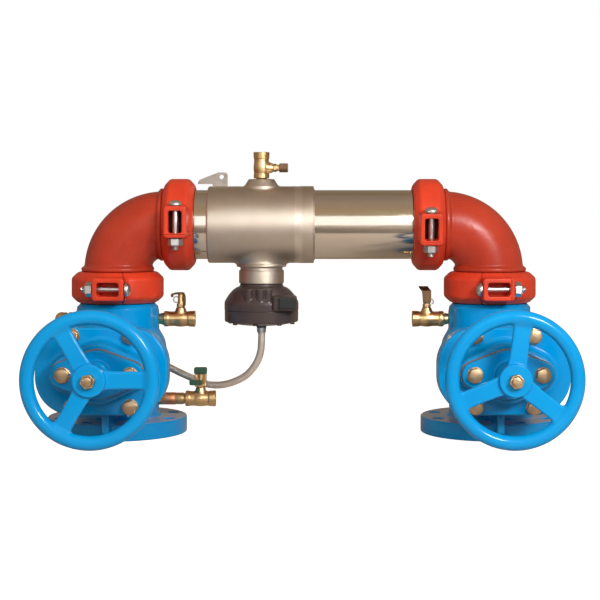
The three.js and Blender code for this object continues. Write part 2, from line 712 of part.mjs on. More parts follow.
function testCock(sizes, number) {
  const name = "test_cock_" + number;
  const cock = group(
    piece(name + "_body", cockBarrel(sizes), "brass"),
    piece(name + "_ball_and_handle", cockHandle(sizes), number === 1 ? "greenVinyl" : "brass"),
  );
  cock.position.set(sizes.x, 0, sizes.z);
  COCK_TURNS[sizes.faces](cock);
  return cock;
}

// ---- The whole assembly ----

const inletBosses = [neckBoss(1, COCK_Z), neckBoss(-1, COCK_Z), neckBoss(1, LOW_COCK_Z)];
const outletBosses = [neckBoss(-1, COCK_Z)];
const upperJointZ = PIPE_END_Z + JOINT_GAP / 2;
const sideJointX = RUN_END_X + JOINT_GAP / 2;
const OUTWARD = 5.5; // degrees by which the lower couplings' front bolts stand apart

const pipework = group(
  coupling("inlet_valve_coupling", -VALVE_X, upperJointZ, Math.PI / 2, OUTWARD),
  coupling("inlet_elbow_coupling", -sideJointX, RUN_Z, 0),
  coupling("outlet_elbow_coupling", sideJointX, RUN_Z, 0, 7.5),
  coupling("outlet_valve_coupling", VALVE_X, upperJointZ, -Math.PI / 2, OUTWARD),
  elbowAt("inlet_elbow", -VALVE_X, 0),
  elbowAt("outlet_elbow", VALVE_X, Math.PI),
  piece("check_housing", housing(), "stainless"),
  checkModule("inlet"),
  checkModule("outlet"),
  reliefValve(),
  piece("sensing_hose", sensingHose(), "braid"),
  ...COCKS.map((sizes, i) => testCock(sizes, i + 1)),
);
pipework.position.z = PIPEWORK_LIFT;

const preventer = group(
  gateValve("inlet", -VALVE_X, 0, inletBosses),
  gateValve("outlet", VALVE_X, THREE.MathUtils.degToRad(82), outletBosses),
  pipework,
);

// The origin is under the middle of the object's box: the box runs from the flanges' back
// edge to the front end of the stems.
const BACK_Y = FLANGE.r;
const FRONT_Y = -334;
preventer.position.y = -(BACK_Y + FRONT_Y) / 2;

export default preventer;
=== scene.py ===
"""The looks of a four-inch backflow preventer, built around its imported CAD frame.

Castings are implicit shapes: a field gives the distance to the surface in millimetres, and skin()
turns it into a closed mesh. Turned pieces are lathed outlines. Blender objects are in metres.
"""
import json
from math import asin, atan2, cos, pi, radians, sin, sqrt

import bmesh
import bpy
import numpy as np
from mathutils import Matrix, Vector

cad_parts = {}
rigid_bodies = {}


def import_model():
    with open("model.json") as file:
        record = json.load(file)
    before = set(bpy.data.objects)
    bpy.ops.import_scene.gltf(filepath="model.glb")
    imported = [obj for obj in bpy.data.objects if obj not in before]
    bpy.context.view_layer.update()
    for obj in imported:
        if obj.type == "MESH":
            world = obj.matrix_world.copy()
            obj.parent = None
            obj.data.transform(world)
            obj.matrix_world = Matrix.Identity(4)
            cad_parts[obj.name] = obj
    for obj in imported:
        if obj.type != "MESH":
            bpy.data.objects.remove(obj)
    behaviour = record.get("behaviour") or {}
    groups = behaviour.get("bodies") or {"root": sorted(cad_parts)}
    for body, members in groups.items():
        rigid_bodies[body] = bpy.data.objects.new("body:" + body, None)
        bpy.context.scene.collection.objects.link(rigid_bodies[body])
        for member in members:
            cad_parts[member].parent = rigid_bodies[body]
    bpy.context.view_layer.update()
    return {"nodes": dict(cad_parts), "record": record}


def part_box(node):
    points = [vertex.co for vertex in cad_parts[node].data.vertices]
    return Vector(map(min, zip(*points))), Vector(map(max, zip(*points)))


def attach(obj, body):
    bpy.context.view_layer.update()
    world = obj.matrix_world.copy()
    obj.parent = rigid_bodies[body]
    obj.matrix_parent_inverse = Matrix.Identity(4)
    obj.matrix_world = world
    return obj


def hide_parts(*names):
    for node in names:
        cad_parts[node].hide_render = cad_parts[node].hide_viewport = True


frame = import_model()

MM = 0.001
COARSE = 1.0

SCENE = bpy.context.scene


def new_object(name, data):
    obj = bpy.data.objects.new(name, data)
    SCENE.collection.objects.link(obj)
    return obj


# ---- Places, from the frame ----


def middle(node):
    low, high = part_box(node)
    return (low + high) / 2


AXIS_Y = middle("inlet_valve_coupling_gasket").y
VALVE_X = {side: middle(side + "_valve_coupling_gasket").x for side in ("inlet", "outlet")}
RUN = middle("inlet_elbow_coupling_gasket").z
STEM_Z = middle("inlet_handwheel").z / MM
RELIEF = middle("relief_valve_cover")
VALVE_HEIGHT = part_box("inlet_valve_body")[1].z / MM
RUN_LEVEL = 0.337  # the run's axis in the pipework's own frame
LIFT = RUN - RUN_LEVEL  # that frame's zero, above the flange faces


def at(x, z, y=AXIS_Y):
    return Matrix.Translation((x, y, z))


def shift(x, y, z):
    return Matrix.Translation((x * MM, y * MM, z * MM))


def turn(degrees, axis):
    return Matrix.Rotation(radians(degrees), 4, axis)


# ---- Dimensions in millimetres ----

PIPE_R = 57.15
BORE_R = 51.0
GROOVE_R = 55.04
GROOVE = (15.9, 24.6)  # a pipe end's groove, from the end
FLANGE_R = 114.3
NECK_R = 67.0
BOSS_FACE = 67.5  # flat faces for the pipe fittings, from the valve's axis
NECK_TOP = VALVE_HEIGHT - 31
COCK_Z = 181 + LIFT / MM  # test cocks and hose elbow on the valve necks
LOW_COCK_Z = 49 + LIFT / MM
WHEEL_AT = 309.0  # the handwheel's rim in front of the pipe axis
BOLT_AT = 84.0  # coupling bolts, from the pipe axis

# ---- Fields: distance below zero is inside ----


def disc(x, y, r):
    return np.hypot(x, y) - r


def ball(x, y, z, r):
    return np.sqrt(x * x + y * y + z * z) - r


def slab(h, low, high):
    return np.abs(h - (low + high) / 2) - (high - low) / 2


def plate(x, y, width, height, corner):
    """A rectangle with round corners."""
    dx = np.abs(x) - width / 2 + corner
    dy = np.abs(y) - height / 2 + corner
    outside = np.hypot(np.maximum(dx, 0), np.maximum(dy, 0))
    return outside + np.minimum(np.maximum(dx, dy), 0) - corner


def eye(x, y, r, end_r, reach):
    """A two-bolt outline: a round middle that narrows to round ends, at reach either side."""
    slope = (r - end_r) / reach
    level = sqrt(1 - slope * slope)
    x, y = np.abs(x) + 0 * y, np.abs(y) + 0 * x
    along = level * x - slope * y
    middle_part = np.hypot(x, y) - r
    end_part = np.hypot(x - reach, y) - end_r
    flank = level * y + slope * x - r
    return np.where(along < 0, middle_part, np.where(along > level * reach, end_part, flank))


def meet(a, b, r=0.0):
    """Where both are, with the edge between them rounded to r."""
    if r == 0:
        return np.maximum(a, b)
    corner = np.hypot(np.maximum(a + r, 0), np.maximum(b + r, 0))
    return np.minimum(np.maximum(a, b), -r) + corner


def join(a, b, r=0.0):
    """Where either is, with a fillet of radius r between them."""
    if r == 0:
        return np.minimum(a, b)
    corner = np.hypot(np.maximum(r - a, 0), np.maximum(r - b, 0))
    return np.maximum(np.minimum(a, b), r) - corner


def without(a, b, r=0.0):
    return meet(a, -b, r)


def rod(off, r, h, low, high, edge=0.0):
    """A round rod along h, with its edges rounded. off is the distance from its axis."""
    return meet(off - r, slab(h, low, high), edge)


def post(x, y, *sizes):
    """The same round the axis where x and y are zero."""
    return rod(np.hypot(x, y), *sizes)


def hexagon(x, y, flats):
    r = flats / 2
    slanted = np.maximum(np.abs(x * 0.866 + y / 2), np.abs(x * 0.866 - y / 2))
    return np.maximum(np.abs(y) - r, slanted - r)


def around(x, y, count, start=0.0):
    """Folds the plane into one of count equal sectors, and gives the place along and across it."""
    sector = 2 * pi / count
    angle = np.arctan2(y, x) - start
    folded = np.mod(angle + sector / 2, sector) - sector / 2
    r = np.hypot(x, y)
    return r * np.cos(folded), r * np.sin(folded)


# ---- From a field to a mesh ----

CORNERS = [(i, j, k) for i in (0, 1) for j in (0, 1) for k in (0, 1)]
EDGES = [(a, b) for a in range(8) for b in range(a + 1, 8) if (a ^ b) in (1, 2, 4)]


def gradient(field, points, reach=0.05):
    rises = [field(*(points + axis).T) - field(*(points - axis).T) for axis in np.eye(3) * reach]
    return np.stack(rises, 1) / (2 * reach)


def skin(field, low, high, step):
    """The closed surface where the field is zero: one vertex in each cell that it crosses, then
    moved onto the surface. Returns vertices, quads and normals."""
    step = step * COARSE
    low = np.array(low, float) - 2 * step
    axes = [np.arange(l, h + 2.5 * step, step) for l, h in zip(low, high)]
    x, y, z = np.meshgrid(*axes, indexing="ij", sparse=True)
    values = np.ascontiguousarray(np.broadcast_to(field(x, y, z), [len(a) for a in axes]))
    inside = values < 0
    size = [n - 1 for n in inside.shape]

    def corner(array, c):
        i, j, k = CORNERS[c]
        return array[i:i + size[0], j:j + size[1], k:k + size[2]]

    count = sum(corner(inside, c).astype(np.int8) for c in range(8))
    cells = np.nonzero((count > 0) & (count < 8))
    at_corner = [corner(values, c)[cells] for c in range(8)]
    total = np.zeros((len(cells[0]), 3))
    hits = np.zeros(len(cells[0]))
    for a, b in EDGES:
        va, vb = at_corner[a], at_corner[b]
        crossed = (va < 0) != (vb < 0)
        share = np.where(crossed, va / np.where(crossed, va - vb, 1), 0)
        pa, pb = np.array(CORNERS[a]), np.array(CORNERS[b])
        total += crossed[:, None] * (pa + share[:, None] * (pb - pa))
        hits += crossed
    points = (np.stack(cells, 1) + total / hits[:, None]) * step + low
    for _ in range(2):
        slope = gradient(field, points)
        steep = np.maximum((slope ** 2).sum(1), 0.25)
        move = slope * (field(*points.T) / steep)[:, None]
        points -= np.clip(move, -step / 2, step / 2)
    index = np.full(size, -1, np.int64)
    index[cells] = np.arange(len(points))
    quads = []
    for order in ((0, 1, 2), (1, 2, 0), (2, 0, 1)):
        solid = inside.transpose(order)
        owner = index.transpose(order)
        near, far = solid[:-1, 1:-1, 1:-1], solid[1:, 1:-1, 1:-1]
        i, j, k = np.nonzero(near != far)
        ring = [owner[i, j, k], owner[i, j + 1, k], owner[i, j + 1, k + 1], owner[i, j, k + 1]]
        loop = np.stack(ring, 1)
        quads.append(np.where(near[i, j, k][:, None], loop, loop[:, ::-1]))
    normals = gradient(field, points)
    normals /= np.maximum(np.linalg.norm(normals, axis=1), 1e-6)[:, None]
    return points, np.concatenate(quads), normals


MESHES = {}  # by name, so that a mesh that several pieces share is made once


def field_mesh(name, field, low, high, step):
    if name in MESHES:
        return MESHES[name]
    points, quads, normals = skin(field, low, high, step)
    mesh = bpy.data.meshes.new(name)
    mesh.vertices.add(len(points))
    mesh.vertices.foreach_set("co", (points * MM).ravel())
    mesh.loops.add(quads.size)
    mesh.loops.foreach_set("vertex_index", quads.ravel().astype(np.int32))
    mesh.polygons.add(len(quads))
    mesh.polygons.foreach_set("loop_start", np.arange(0, quads.size, 4, dtype=np.int32))
    mesh.update(calc_edges=True)
    mesh.validate()
    mesh.polygons.foreach_set("use_smooth", np.ones(len(mesh.polygons), bool))
    if len(mesh.vertices) == len(normals):
        mesh.normals_split_custom_set_from_vertices(normals.astype(np.float32))
    MESHES[name] = mesh
    return mesh


# ---- Turned, raised and swept shapes: (vertices, faces) in millimetres ----


def rounded(points, r, steps=4, closed=False):
    """An outline with its corners rounded. A point may carry its own radius as a third value."""
    count = len(points)
    made = []
    for i, point in enumerate(points):
        here = np.array(point[:2], float)
        corner_r = point[2] if len(point) > 2 else r
        ends = i in (0, count - 1) and not closed
        if ends or corner_r <= 0:
            made.append(tuple(here))
            continue
        back = np.array(points[i - 1][:2], float) - here
        ahead = np.array(points[(i + 1) % count][:2], float) - here
        reach = min(corner_r, 0.45 * np.linalg.norm(back), 0.45 * np.linalg.norm(ahead))
        start = here + back / np.linalg.norm(back) * reach
        end = here + ahead / np.linalg.norm(ahead) * reach
        for t in np.linspace(0, 1, steps + 1):
            made.append(tuple((1 - t) ** 2 * start + 2 * t * (1 - t) * here + t * t * end))
    return made


def area(outline):
    return sum(a[0] * b[1] - b[0] * a[1] for a, b in zip(outline, outline[1:] + outline[:1])) / 2


AXES = {
    "z": np.array([[1, 0, 0], [0, 1, 0], [0, 0, 1]], float),
    "x": np.array([[0, 0, 1], [1, 0, 0], [0, 1, 0]], float),
    "front": np.array([[1, 0, 0], [0, 0, -1], [0, 1, 0]], float),
}


def lathe(outline, axis="z", sides=96, wobble=None):
    """A solid of revolution from (radius, height) points. The outline ends on the axis at both
    ends, or closes on itself. wobble(angle, height) is added to the radius."""
    outline = list(outline)
    if area(outline) < 0:
        outline.reverse()
    ring = all(r > 1e-6 for r, _ in outline)
    angles = np.arange(sides) * 2 * pi / sides
    rows, points = [], []
    for r, h in outline:
        if r <= 1e-6:
            rows.append([len(points)])
            points.append((0, 0, h))
            continue
        rows.append(list(range(len(points), len(points) + sides)))
        extra = wobble(angles, h) if wobble else 0 * angles
        for a, e in zip(angles, extra):
            points.append(((r + e) * cos(a), (r + e) * sin(a), h))
    faces = []
    pairs = list(zip(rows, rows[1:] + rows[:1])) if ring else list(zip(rows, rows[1:]))
    for low, high in pairs:
        for i in range(sides):
            j = (i + 1) % sides
            corners = (low[i % len(low)], low[j % len(low)],
                       high[j % len(high)], high[i % len(high)])
            face = list(dict.fromkeys(corners))
            if len(face) > 2:
                faces.append(face)
    return np.array(points, float) @ AXES[axis].T, faces


def ring_faces(count, sides):
    """A cap at each end of a row of rings, and the faces between them."""
    faces = [list(range(sides))[::-1], list(range((count - 1) * sides, count * sides))]
    for i in range(count - 1):
        for j in range(sides):
            k = (j + 1) % sides
            faces.append([i * sides + j, i * sides + k, (i + 1) * sides + k, (i + 1) * sides + j])
    return faces


def raised(outline, low, high, axis="z", bevel=0.6):
    """A flat outline raised from low to high, with bevelled edges."""
    outline = list(outline)
    if area(outline) < 0:
        outline.reverse()
    flat = np.array(outline, float)
    ahead = np.roll(flat, -1, 0) - flat
    back = flat - np.roll(flat, 1, 0)
    normal = np.stack([ahead[:, 1] + back[:, 1], -ahead[:, 0] - back[:, 0]], 1)
    normal /= np.maximum(np.linalg.norm(normal, axis=1), 1e-9)[:, None]
    small = flat - normal * bevel
    count = len(flat)
    levels = [(small, low), (flat, low + bevel), (flat, high - bevel), (small, high)]
    points = np.concatenate([np.column_stack([xy, np.full(count, h)]) for xy, h in levels])
    return points @ AXES[axis].T, ring_faces(len(levels), count)


def moved(shape, matrix):
    points, faces = shape
    spun = points @ np.array(matrix.to_3x3()).T + np.array(matrix.translation)
    return spun, faces


def combined(*shapes):
    points, faces, start = [], [], 0
    for shape_points, shape_faces in shapes:
        points.append(shape_points)
        faces += [[start + i for i in face] for face in shape_faces]
        start += len(shape_points)
    return np.concatenate(points), faces


def circle_points(x, y, r, count=24, start=0.0, sweep=2 * pi):
    closed = sweep >= 2 * pi
    turns = start + sweep * np.arange(count) / (count if closed else count - 1)
    return [(x + r * cos(t), y + r * sin(t)) for t in turns]


def shape_mesh(name, shape, sharp=32):
    """A mesh with its faces outward and its edges sharper than an angle kept sharp."""
    if name in MESHES:
        return MESHES[name]
    points, faces = shape
    mesh = bpy.data.meshes.new(name)
    mesh.from_pydata((points * MM).tolist(), [], faces)
    build = bmesh.new()
    build.from_mesh(mesh)
    bmesh.ops.recalc_face_normals(build, faces=build.faces)
    for edge in build.edges:
        edge.smooth = edge.calc_face_angle(0) < radians(sharp)
    for face in build.faces:
        face.smooth = True
    build.to_mesh(mesh)
    build.free()
    MESHES[name] = mesh
    return mesh


def catmull(points, per_span):
    """A smooth curve through points, with centripetal spacing."""
    p = np.array(points, float)
    p = np.concatenate([[2 * p[0] - p[1]], p, [2 * p[-1] - p[-2]]])
    made = []
    for i in range(1, len(p) - 2):
        a, b, c, d = p[i - 1:i + 3]
        t0, t1 = 0.0, np.linalg.norm(b - a) ** 0.5
        t2 = t1 + np.linalg.norm(c - b) ** 0.5
        t3 = t2 + np.linalg.norm(d - c) ** 0.5
        for t in np.linspace(t1, t2, per_span, endpoint=False):
            ab = (t1 - t) / (t1 - t0) * a + (t - t0) / (t1 - t0) * b
            bc = (t2 - t) / (t2 - t1) * b + (t - t1) / (t2 - t1) * c
            cd = (t3 - t) / (t3 - t2) * c + (t - t2) / (t3 - t2) * d
            abc = (t2 - t) / (t2 - t0) * ab + (t - t0) / (t2 - t0) * bc
            bcd = (t3 - t) / (t3 - t1) * bc + (t - t1) / (t3 - t1) * cd
            made.append((t2 - t) / (t2 - t1) * abc + (t - t1) / (t2 - t1) * bcd)
    made.append(p[-2])
    return np.array(made)


def even(points, spacing):
    """The same curve with points at an even spacing."""
    gaps = np.linalg.norm(np.diff(points, axis=0), axis=1)
    along = np.concatenate([[0], np.cumsum(gaps)])
    places = np.linspace(0, along[-1], max(2, round(along[-1] / spacing)))
    return np.stack([np.interp(places, along, points[:, i]) for i in range(3)], 1)


def swept(points, radius, sides=24):
    """A round tube along points. radius(distance, angles) gives its radius at each angle."""
    places = np.concatenate([[0], np.cumsum(np.linalg.norm(np.diff(points, axis=0), axis=1))])
    ahead = np.gradient(points, axis=0)
    ahead /= np.linalg.norm(ahead, axis=1)[:, None]
    side = np.cross(ahead[0], (0.3, 0.9, 0.2))
    side /= np.linalg.norm(side)
    angles = np.arange(sides) * 2 * pi / sides
    rings = []
    for point, direction, place in zip(points, ahead, places):
        side = side - direction * (side @ direction)
        side /= np.linalg.norm(side)
        up = np.cross(direction, side)
        r = radius(place, angles)
        rings.append(point + np.outer(r * np.cos(angles), side) + np.outer(r * np.sin(angles), up))
    return np.concatenate(rings), ring_faces(len(rings), sides)


# ---- Materials ----


class Nodes:
    """A node tree, with short calls to add and link its nodes."""

    def __init__(self, tree):
        self.tree = tree

    def add(self, kind, settings=None, *sources, **named):
        """A new node. Sources go to its inputs in order, and named ones by the input's name."""
        node = self.tree.nodes.new("ShaderNode" + kind)
        for key, value in (settings or {}).items():
            setattr(node, key, value)
        for socket, source in zip(node.inputs, sources):
            self.link(source, socket)
        for key, source in named.items():
            self.link(source, node.inputs[key.replace("_", " ")])
        return node

    def link(self, source, socket):
        if isinstance(source, bpy.types.NodeSocket):
            self.tree.links.new(source, socket)
        else:
            socket.default_value = source

    def spread(self, value, low, high, from_low=0.3, from_high=0.7):
        return self.add("MapRange", None, value, from_low, from_high, low, high).outputs[0]

    def math(self, operation, *values):
        return self.add("Math", {"operation": operation}, *values).outputs[0]

    def parts(self, vector):
        return self.add("SeparateXYZ", None, vector).outputs


class Look(Nodes):
    """A material with one Principled shader."""

    def __init__(self, name):
        self.material = bpy.data.materials.new(name)
        self.material.use_nodes = True
        super().__init__(self.material.node_tree)
        self.shader = self.tree.nodes["Principled BSDF"]
        self.place = self.add("TexCoord").outputs["Object"]

    def set(self, **values):
        for key, value in values.items():
            self.link(value, self.shader.inputs[key.replace("_", " ")])

    def noise(self, scale, detail=3.0, stretch=None):
        place = self.place
        if stretch:
            place = self.add("Mapping", Vector=place, Scale=stretch).outputs[0]
        return self.add("TexNoise", Vector=place, Scale=scale, Detail=detail).outputs["Fac"]

    def blend(self, share, first, second):
        node = self.add("Mix", {"data_type": "RGBA"}, share)
        for socket, color in ((node.inputs[6], first), (node.inputs[7], second)):
            self.link((*color, 1) if isinstance(color, tuple) else color, socket)
        return node.outputs[2]

    def bump(self, *heights):
        """Stacks bumps, each a (height, strength, depth in metres)."""
        normal = None
        for height, strength, depth in heights:
            node = self.add("Bump", Height=height, Strength=strength, Distance=depth)
            if normal:
                self.link(normal, node.inputs["Normal"])
            normal = node.outputs[0]
        self.set(Normal=normal)

    def dust_and_painted_reflection(self, height):
        """Dust and a painted reflection of the room on the faces that look up, below a height in
        the object's own frame.
        """
        normal = self.parts(self.add("NewGeometry").outputs["Normal"])
        level = self.spread(normal["Z"], 0, 1, 0.75, 0.97)
        below = self.spread(self.parts(self.place)["Z"], 0.95, 0, height - 0.001, height)
        patches = self.spread(self.noise(45, 4), 0.7, 1.0)
        return self.math("MULTIPLY", self.math("MULTIPLY", level, below), patches)

    def edges(self, most):
        """The most along outer edges and 0 elsewhere: the mask for paint worn thin on edges and for
        a painted highlight there.
        """
        sharp = self.spread(self.add("NewGeometry").outputs["Pointiness"], 0, 1, 0.52, 0.6)
        return self.spread(sharp, 0, most, 0, 1)

    def painted_hollow_shade(self, most):
        """The most in inner corners and 0 elsewhere: the mask for painted shade in hollows."""
        deep = self.spread(self.add("NewGeometry").outputs["Pointiness"], 1, 0, 0.40, 0.485)
        return self.spread(deep, 0, most, 0, 1)


DUST_AND_REFLECTION_TOP = 0.0282  # just above the flanges, in metres
# A grey for the flange tops: dust and a painted reflection of the room.
DUST_AND_REFLECTION = (0.5, 0.46, 0.48)
# A lighter stainless tone for the ground band: a painted highlight.
GROUND_AND_HIGHLIGHT = (0.72, 0.65, 0.57)


def paint(name, color, deep, edge, rough, grain, peel, patchy=0.35, dust_and_reflection=False, shine=0.4):
    """Thick paint over a sand casting: the casting's grain under the paint's own soft waves."""
    look = Look(name)
    tone = look.blend(look.spread(look.noise(14, 4), 0, patchy), color, deep)
    # Inner corners turn to the deep tone: painted shade.
    tone = look.blend(look.painted_hollow_shade(0.8), tone, deep)
    # Outer edges turn to the lighter edge tone: paint worn thin, and a painted highlight.
    tone = look.blend(look.edges(0.35), tone, edge)
    # Low faces that look up turn grey: dust and a painted reflection of the room.
    if dust_and_reflection:
        tone = look.blend(look.dust_and_painted_reflection(DUST_AND_REFLECTION_TOP), tone, DUST_AND_REFLECTION)
    look.set(Base_Color=tone, Roughness=look.spread(look.noise(60, 4), rough - 0.05, rough + 0.07))
    look.set(Specular_IOR_Level=shine)
    look.bump((look.noise(900, 2), grain, 0.0002), (look.noise(170, 2), peel, 0.0006))
    return look.material


EVEN = (1.0, 1.0, 1.0)
LINES_ALONG_X = (1.0, 30.0, 30.0)
LINES_ROUND_X = (40.0, 1.0, 1.0)


def metal(name, color, deep, rough, scratch, stretch=EVEN, scale=300.0, soil=0.35, band=None):
    """Bare metal with a worked surface: fine lines along one direction and a patchy tarnish.
    A band between two places along X can be ground smoother, and made brighter as a painted
    highlight."""
    look = Look(name)
    tone = look.blend(look.spread(look.noise(30, 3), 0, soil), color, deep)
    # Inner corners turn to the deep tone: painted shade.
    tone = look.blend(look.painted_hollow_shade(0.7), tone, deep)
    lines = look.noise(scale, 3, stretch)
    if band:
        along = look.parts(look.place)["X"]
        start = look.spread(along, 0, 1, band[0] - 0.003, band[0])
        inside = look.spread(along, start, 0, band[1], band[1] + 0.005)
        # The band turns lighter and smoother: a ground finish, with its lighter tone a painted
        # highlight.
        tone = look.blend(inside, tone, GROUND_AND_HIGHLIGHT)
        smooth = look.spread(inside, rough, rough - 0.09, 0, 1)
        roughness = look.math("MULTIPLY_ADD", lines, 0.2, smooth)
    else:
        roughness = look.spread(lines, rough - 0.06, rough + 0.08)
    look.set(Base_Color=tone, Metallic=1.0, Roughness=roughness)
    look.bump((lines, scratch, 0.0001))
    return look.material


def dull(name, color, deep, rough, grain, scale=500.0, coat=0.0):
    """Rubber or moulded plastic: fine grain and a soft change of tone."""
    look = Look(name)
    tone = look.blend(look.spread(look.noise(25, 4), 0, 0.8), color, deep)
    look.set(Base_Color=tone, Roughness=look.spread(look.noise(80, 3), rough - 0.05, rough + 0.08))
    look.set(Coat_Weight=coat, Coat_Roughness=0.2)
    look.bump((look.noise(scale, 2), grain, 0.0002))
    return look.material


PAINTS = {
    "blue_epoxy": ((0.0, 0.36, 0.8), (0.0, 0.19, 0.58), (0.0, 0.42, 0.86), 0.14, 0.03, 0.08,
                   0.25, True, 0.36),
    "orange_paint": ((0.85, 0.062, 0.022), (0.28, 0.02, 0.01), (0.95, 0.16, 0.07), 0.4, 0.12, 0.18),
    "red_paint": ((0.56, 0.052, 0.022), (0.3, 0.022, 0.01), (0.7, 0.12, 0.06), 0.31, 0.3, 0.25,
                  0.6),
}
GROUND_AND_HIGHLIGHT_BAND = (-0.013, -0.005)  # along the run, in metres
METALS = {
    "stainless": ((0.62, 0.54, 0.45), (0.5, 0.42, 0.34), 0.45, 0.03, LINES_ROUND_X, 60.0),
    "ground_barrel": ((0.59, 0.52, 0.44), (0.48, 0.41, 0.33), 0.36, 0.03, LINES_ROUND_X, 60.0, 0.35,
                      GROUND_AND_HIGHLIGHT_BAND),
    "polished_stainless": ((0.72, 0.66, 0.58), (0.64, 0.57, 0.49), 0.13, 0.01, LINES_ALONG_X, 40.0,
                           0.2),
    "mill_plate": ((0.36, 0.33, 0.29), (0.28, 0.25, 0.22), 0.5, 0.05, EVEN, 200.0),
    "zinc": ((0.66, 0.66, 0.66), (0.4, 0.4, 0.42), 0.36, 0.06),
    "dark_steel": ((0.16, 0.14, 0.13), (0.08, 0.07, 0.065), 0.4, 0.05),
    "braided_steel": ((0.86, 0.78, 0.69), (0.5, 0.43, 0.36), 0.55, 0.1, EVEN, 700.0),
    "brass": ((0.76, 0.52, 0.26), (0.5, 0.29, 0.12), 0.34, 0.05),
    "bronze": ((0.62, 0.44, 0.26), (0.3, 0.19, 0.12), 0.36, 0.05, EVEN, 300.0, 0.6),
    "dark_bronze": ((0.17, 0.1, 0.055), (0.07, 0.04, 0.022), 0.42, 0.05),
    "copper": ((0.95, 0.45, 0.23), (0.72, 0.31, 0.15), 0.32, 0.06),
}
DULLS = {
    "rubber": ((0.018, 0.018, 0.018), (0.03, 0.03, 0.03), 0.65, 0.3),
    "coated_iron": ((0.022, 0.022, 0.024), (0.04, 0.04, 0.04), 0.5, 0.3),
    "black_plastic": ((0.074, 0.052, 0.05), (0.045, 0.031, 0.031), 0.32, 0.1, 700.0, 0.25),
    "port_block": ((0.03, 0.034, 0.036), (0.016, 0.017, 0.018), 0.45, 0.15),
    "white_plastic": ((0.72, 0.7, 0.62), (0.6, 0.57, 0.5), 0.4, 0.1),
    "green_vinyl": ((0.03, 0.1, 0.055), (0.015, 0.05, 0.03), 0.35, 0.1, 400.0, 0.3),
    "fibre_gasket": ((0.3, 0.22, 0.2), (0.2, 0.14, 0.12), 0.6, 0.3),
}
LOOKS = {}
for finish, table in ((paint, PAINTS), (metal, METALS), (dull, DULLS)):
    for key, values in table.items():
        LOOKS[key] = finish(key, *values)

for cad_node in frame["record"]["subparts"]:
    cad_mesh = frame["nodes"][cad_node["node"]].data
    cad_mesh.materials.clear()
    cad_mesh.materials.append(LOOKS[cad_node["material_slot"]])


def piece(name, mesh, slot, place, stands_for=None, body="root", look=None):
    """Puts a mesh in its place, on its CAD body, in its finish. It may stand for a CAD node."""
    obj = new_object(name, mesh)
    if not mesh.materials:
        mesh.materials.append(LOOKS[look or slot])
    obj.matrix_world = place
    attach(obj, body)
    if stands_for:
        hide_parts(stands_for)


def cast(name, field, low, high, step, *finish, **more):
    """A piece with a field mesh of its own."""
    piece(name, field_mesh(name, field, low, high, step), *finish, **more)


def formed(name, shape, *finish, sharp=32, **more):
    """A piece with a mesh of its own, made from points and faces."""
    piece(name, shape_mesh(name, shape, sharp), *finish, **more)


# ---- Fasteners ----


def hex_head(x, y, z, flats, height):
    """A bolt head or nut with its corners turned off, standing up from zero."""
    body = meet(hexagon(x, y, flats), slab(z, 0, height), 0.4)
    cone = (np.hypot(x, y) - flats * 0.52 + (z - height) * 1.5) * 0.55
    return meet(body, cone)


def threaded(r, low, high, pitch=1.5, depth=0.55):
    """A rod with a screw thread and a chamfered end."""
    rows = np.arange(low, high, pitch / 6)
    outline = [(0, low)] + [(r, h) for h in rows] + [(r - depth, high), (0, high)]

    def wave(angles, h):
        if h <= low or h >= high:
            return 0 * angles
        phase = np.mod(h / pitch - angles / (2 * pi), 1)
        return -depth * np.abs(2 * phase - 1)
    return lathe(outline, "z", 32, wave)


# ---- Gate valves, from the middle of the flange face ----

FLANGE_THICK = 27
COVER = (203, 134, 58)  # the bonnet joint's width, height and corner radius
SHAFT_R, SHAFT_BORE_R = 11.9, 12.4
COLLAR_R = 20.4
RIM_R, RIM_THICK_R = 91.2, 10.3
HUB_R = 24
COVER_BOLTS = [(-44.7, -54.0), (44.7, -54.0), (-44.7, 54.0), (44.7, 54.0)]
PLATE_REACH = 50.5  # the seal plate's bolts, either side of the stem
PLATE_BOLTS = [(-PLATE_REACH, 0.0), (PLATE_REACH, 0.0)]


def valve_body(x, y, z, left_bosses, right_bosses):
    """The body casting, with flat bosses for pipe fittings at heights on its left and right."""
    front, up = -y, z - STEM_Z
    flange = post(x, y, FLANGE_R, z, 0, FLANGE_THICK, 2.5)
    neck_r = NECK_R - np.clip(z - NECK_TOP, 0, 5)
    neck = post(x, y, neck_r, z, 5, NECK_TOP + 6, 1.5)
    spigot = post(x, y, PIPE_R, z, 100, VALVE_HEIGHT, 0.8)
    drum = post(x, y, 76, z, 78, 162, 16)
    throat = meet(plate(x, up, 158, 86, 38), slab(front, 0, 158))
    cover = meet(plate(x, up, *COVER), slab(front, 151, 170), 3)
    rib = meet(slab(x, -5.5, 5.5), meet(slab(front, 55, 151), slab(z, 18, 84)), 2)
    shape = join(join(flange, neck, 9), drum, 16)
    shape = join(join(join(shape, throat, 14), cover, 6), rib, 6)
    for side, heights in ((-1, left_bosses), (1, right_bosses)):
        for height in heights:
            boss = post(y, z - height, 17, side * x, 40, BOSS_FACE, 2.5)
            shape = join(shape, boss, 2)
    shape = join(shape, spigot)
    groove = slab(z, VALVE_HEIGHT - GROOVE[1], VALVE_HEIGHT - GROOVE[0])
    groove = meet(groove, GROOVE_R - np.hypot(x, y))
    along, across = around(x, y, 8, pi / 8)
    hole = disc(along - 95.25, across, 9.5)
    seat = post(x, y, 65, z, 95, 145)
    pocket = meet(plate(x, up, 130, 50, 6), slab(front, 0, 190))
    hollow = join(join(disc(x, y, BORE_R), seat), pocket)
    shape = without(shape, hollow, 1)
    return without(without(shape, groove), meet(hole, z - 40), 0.8)


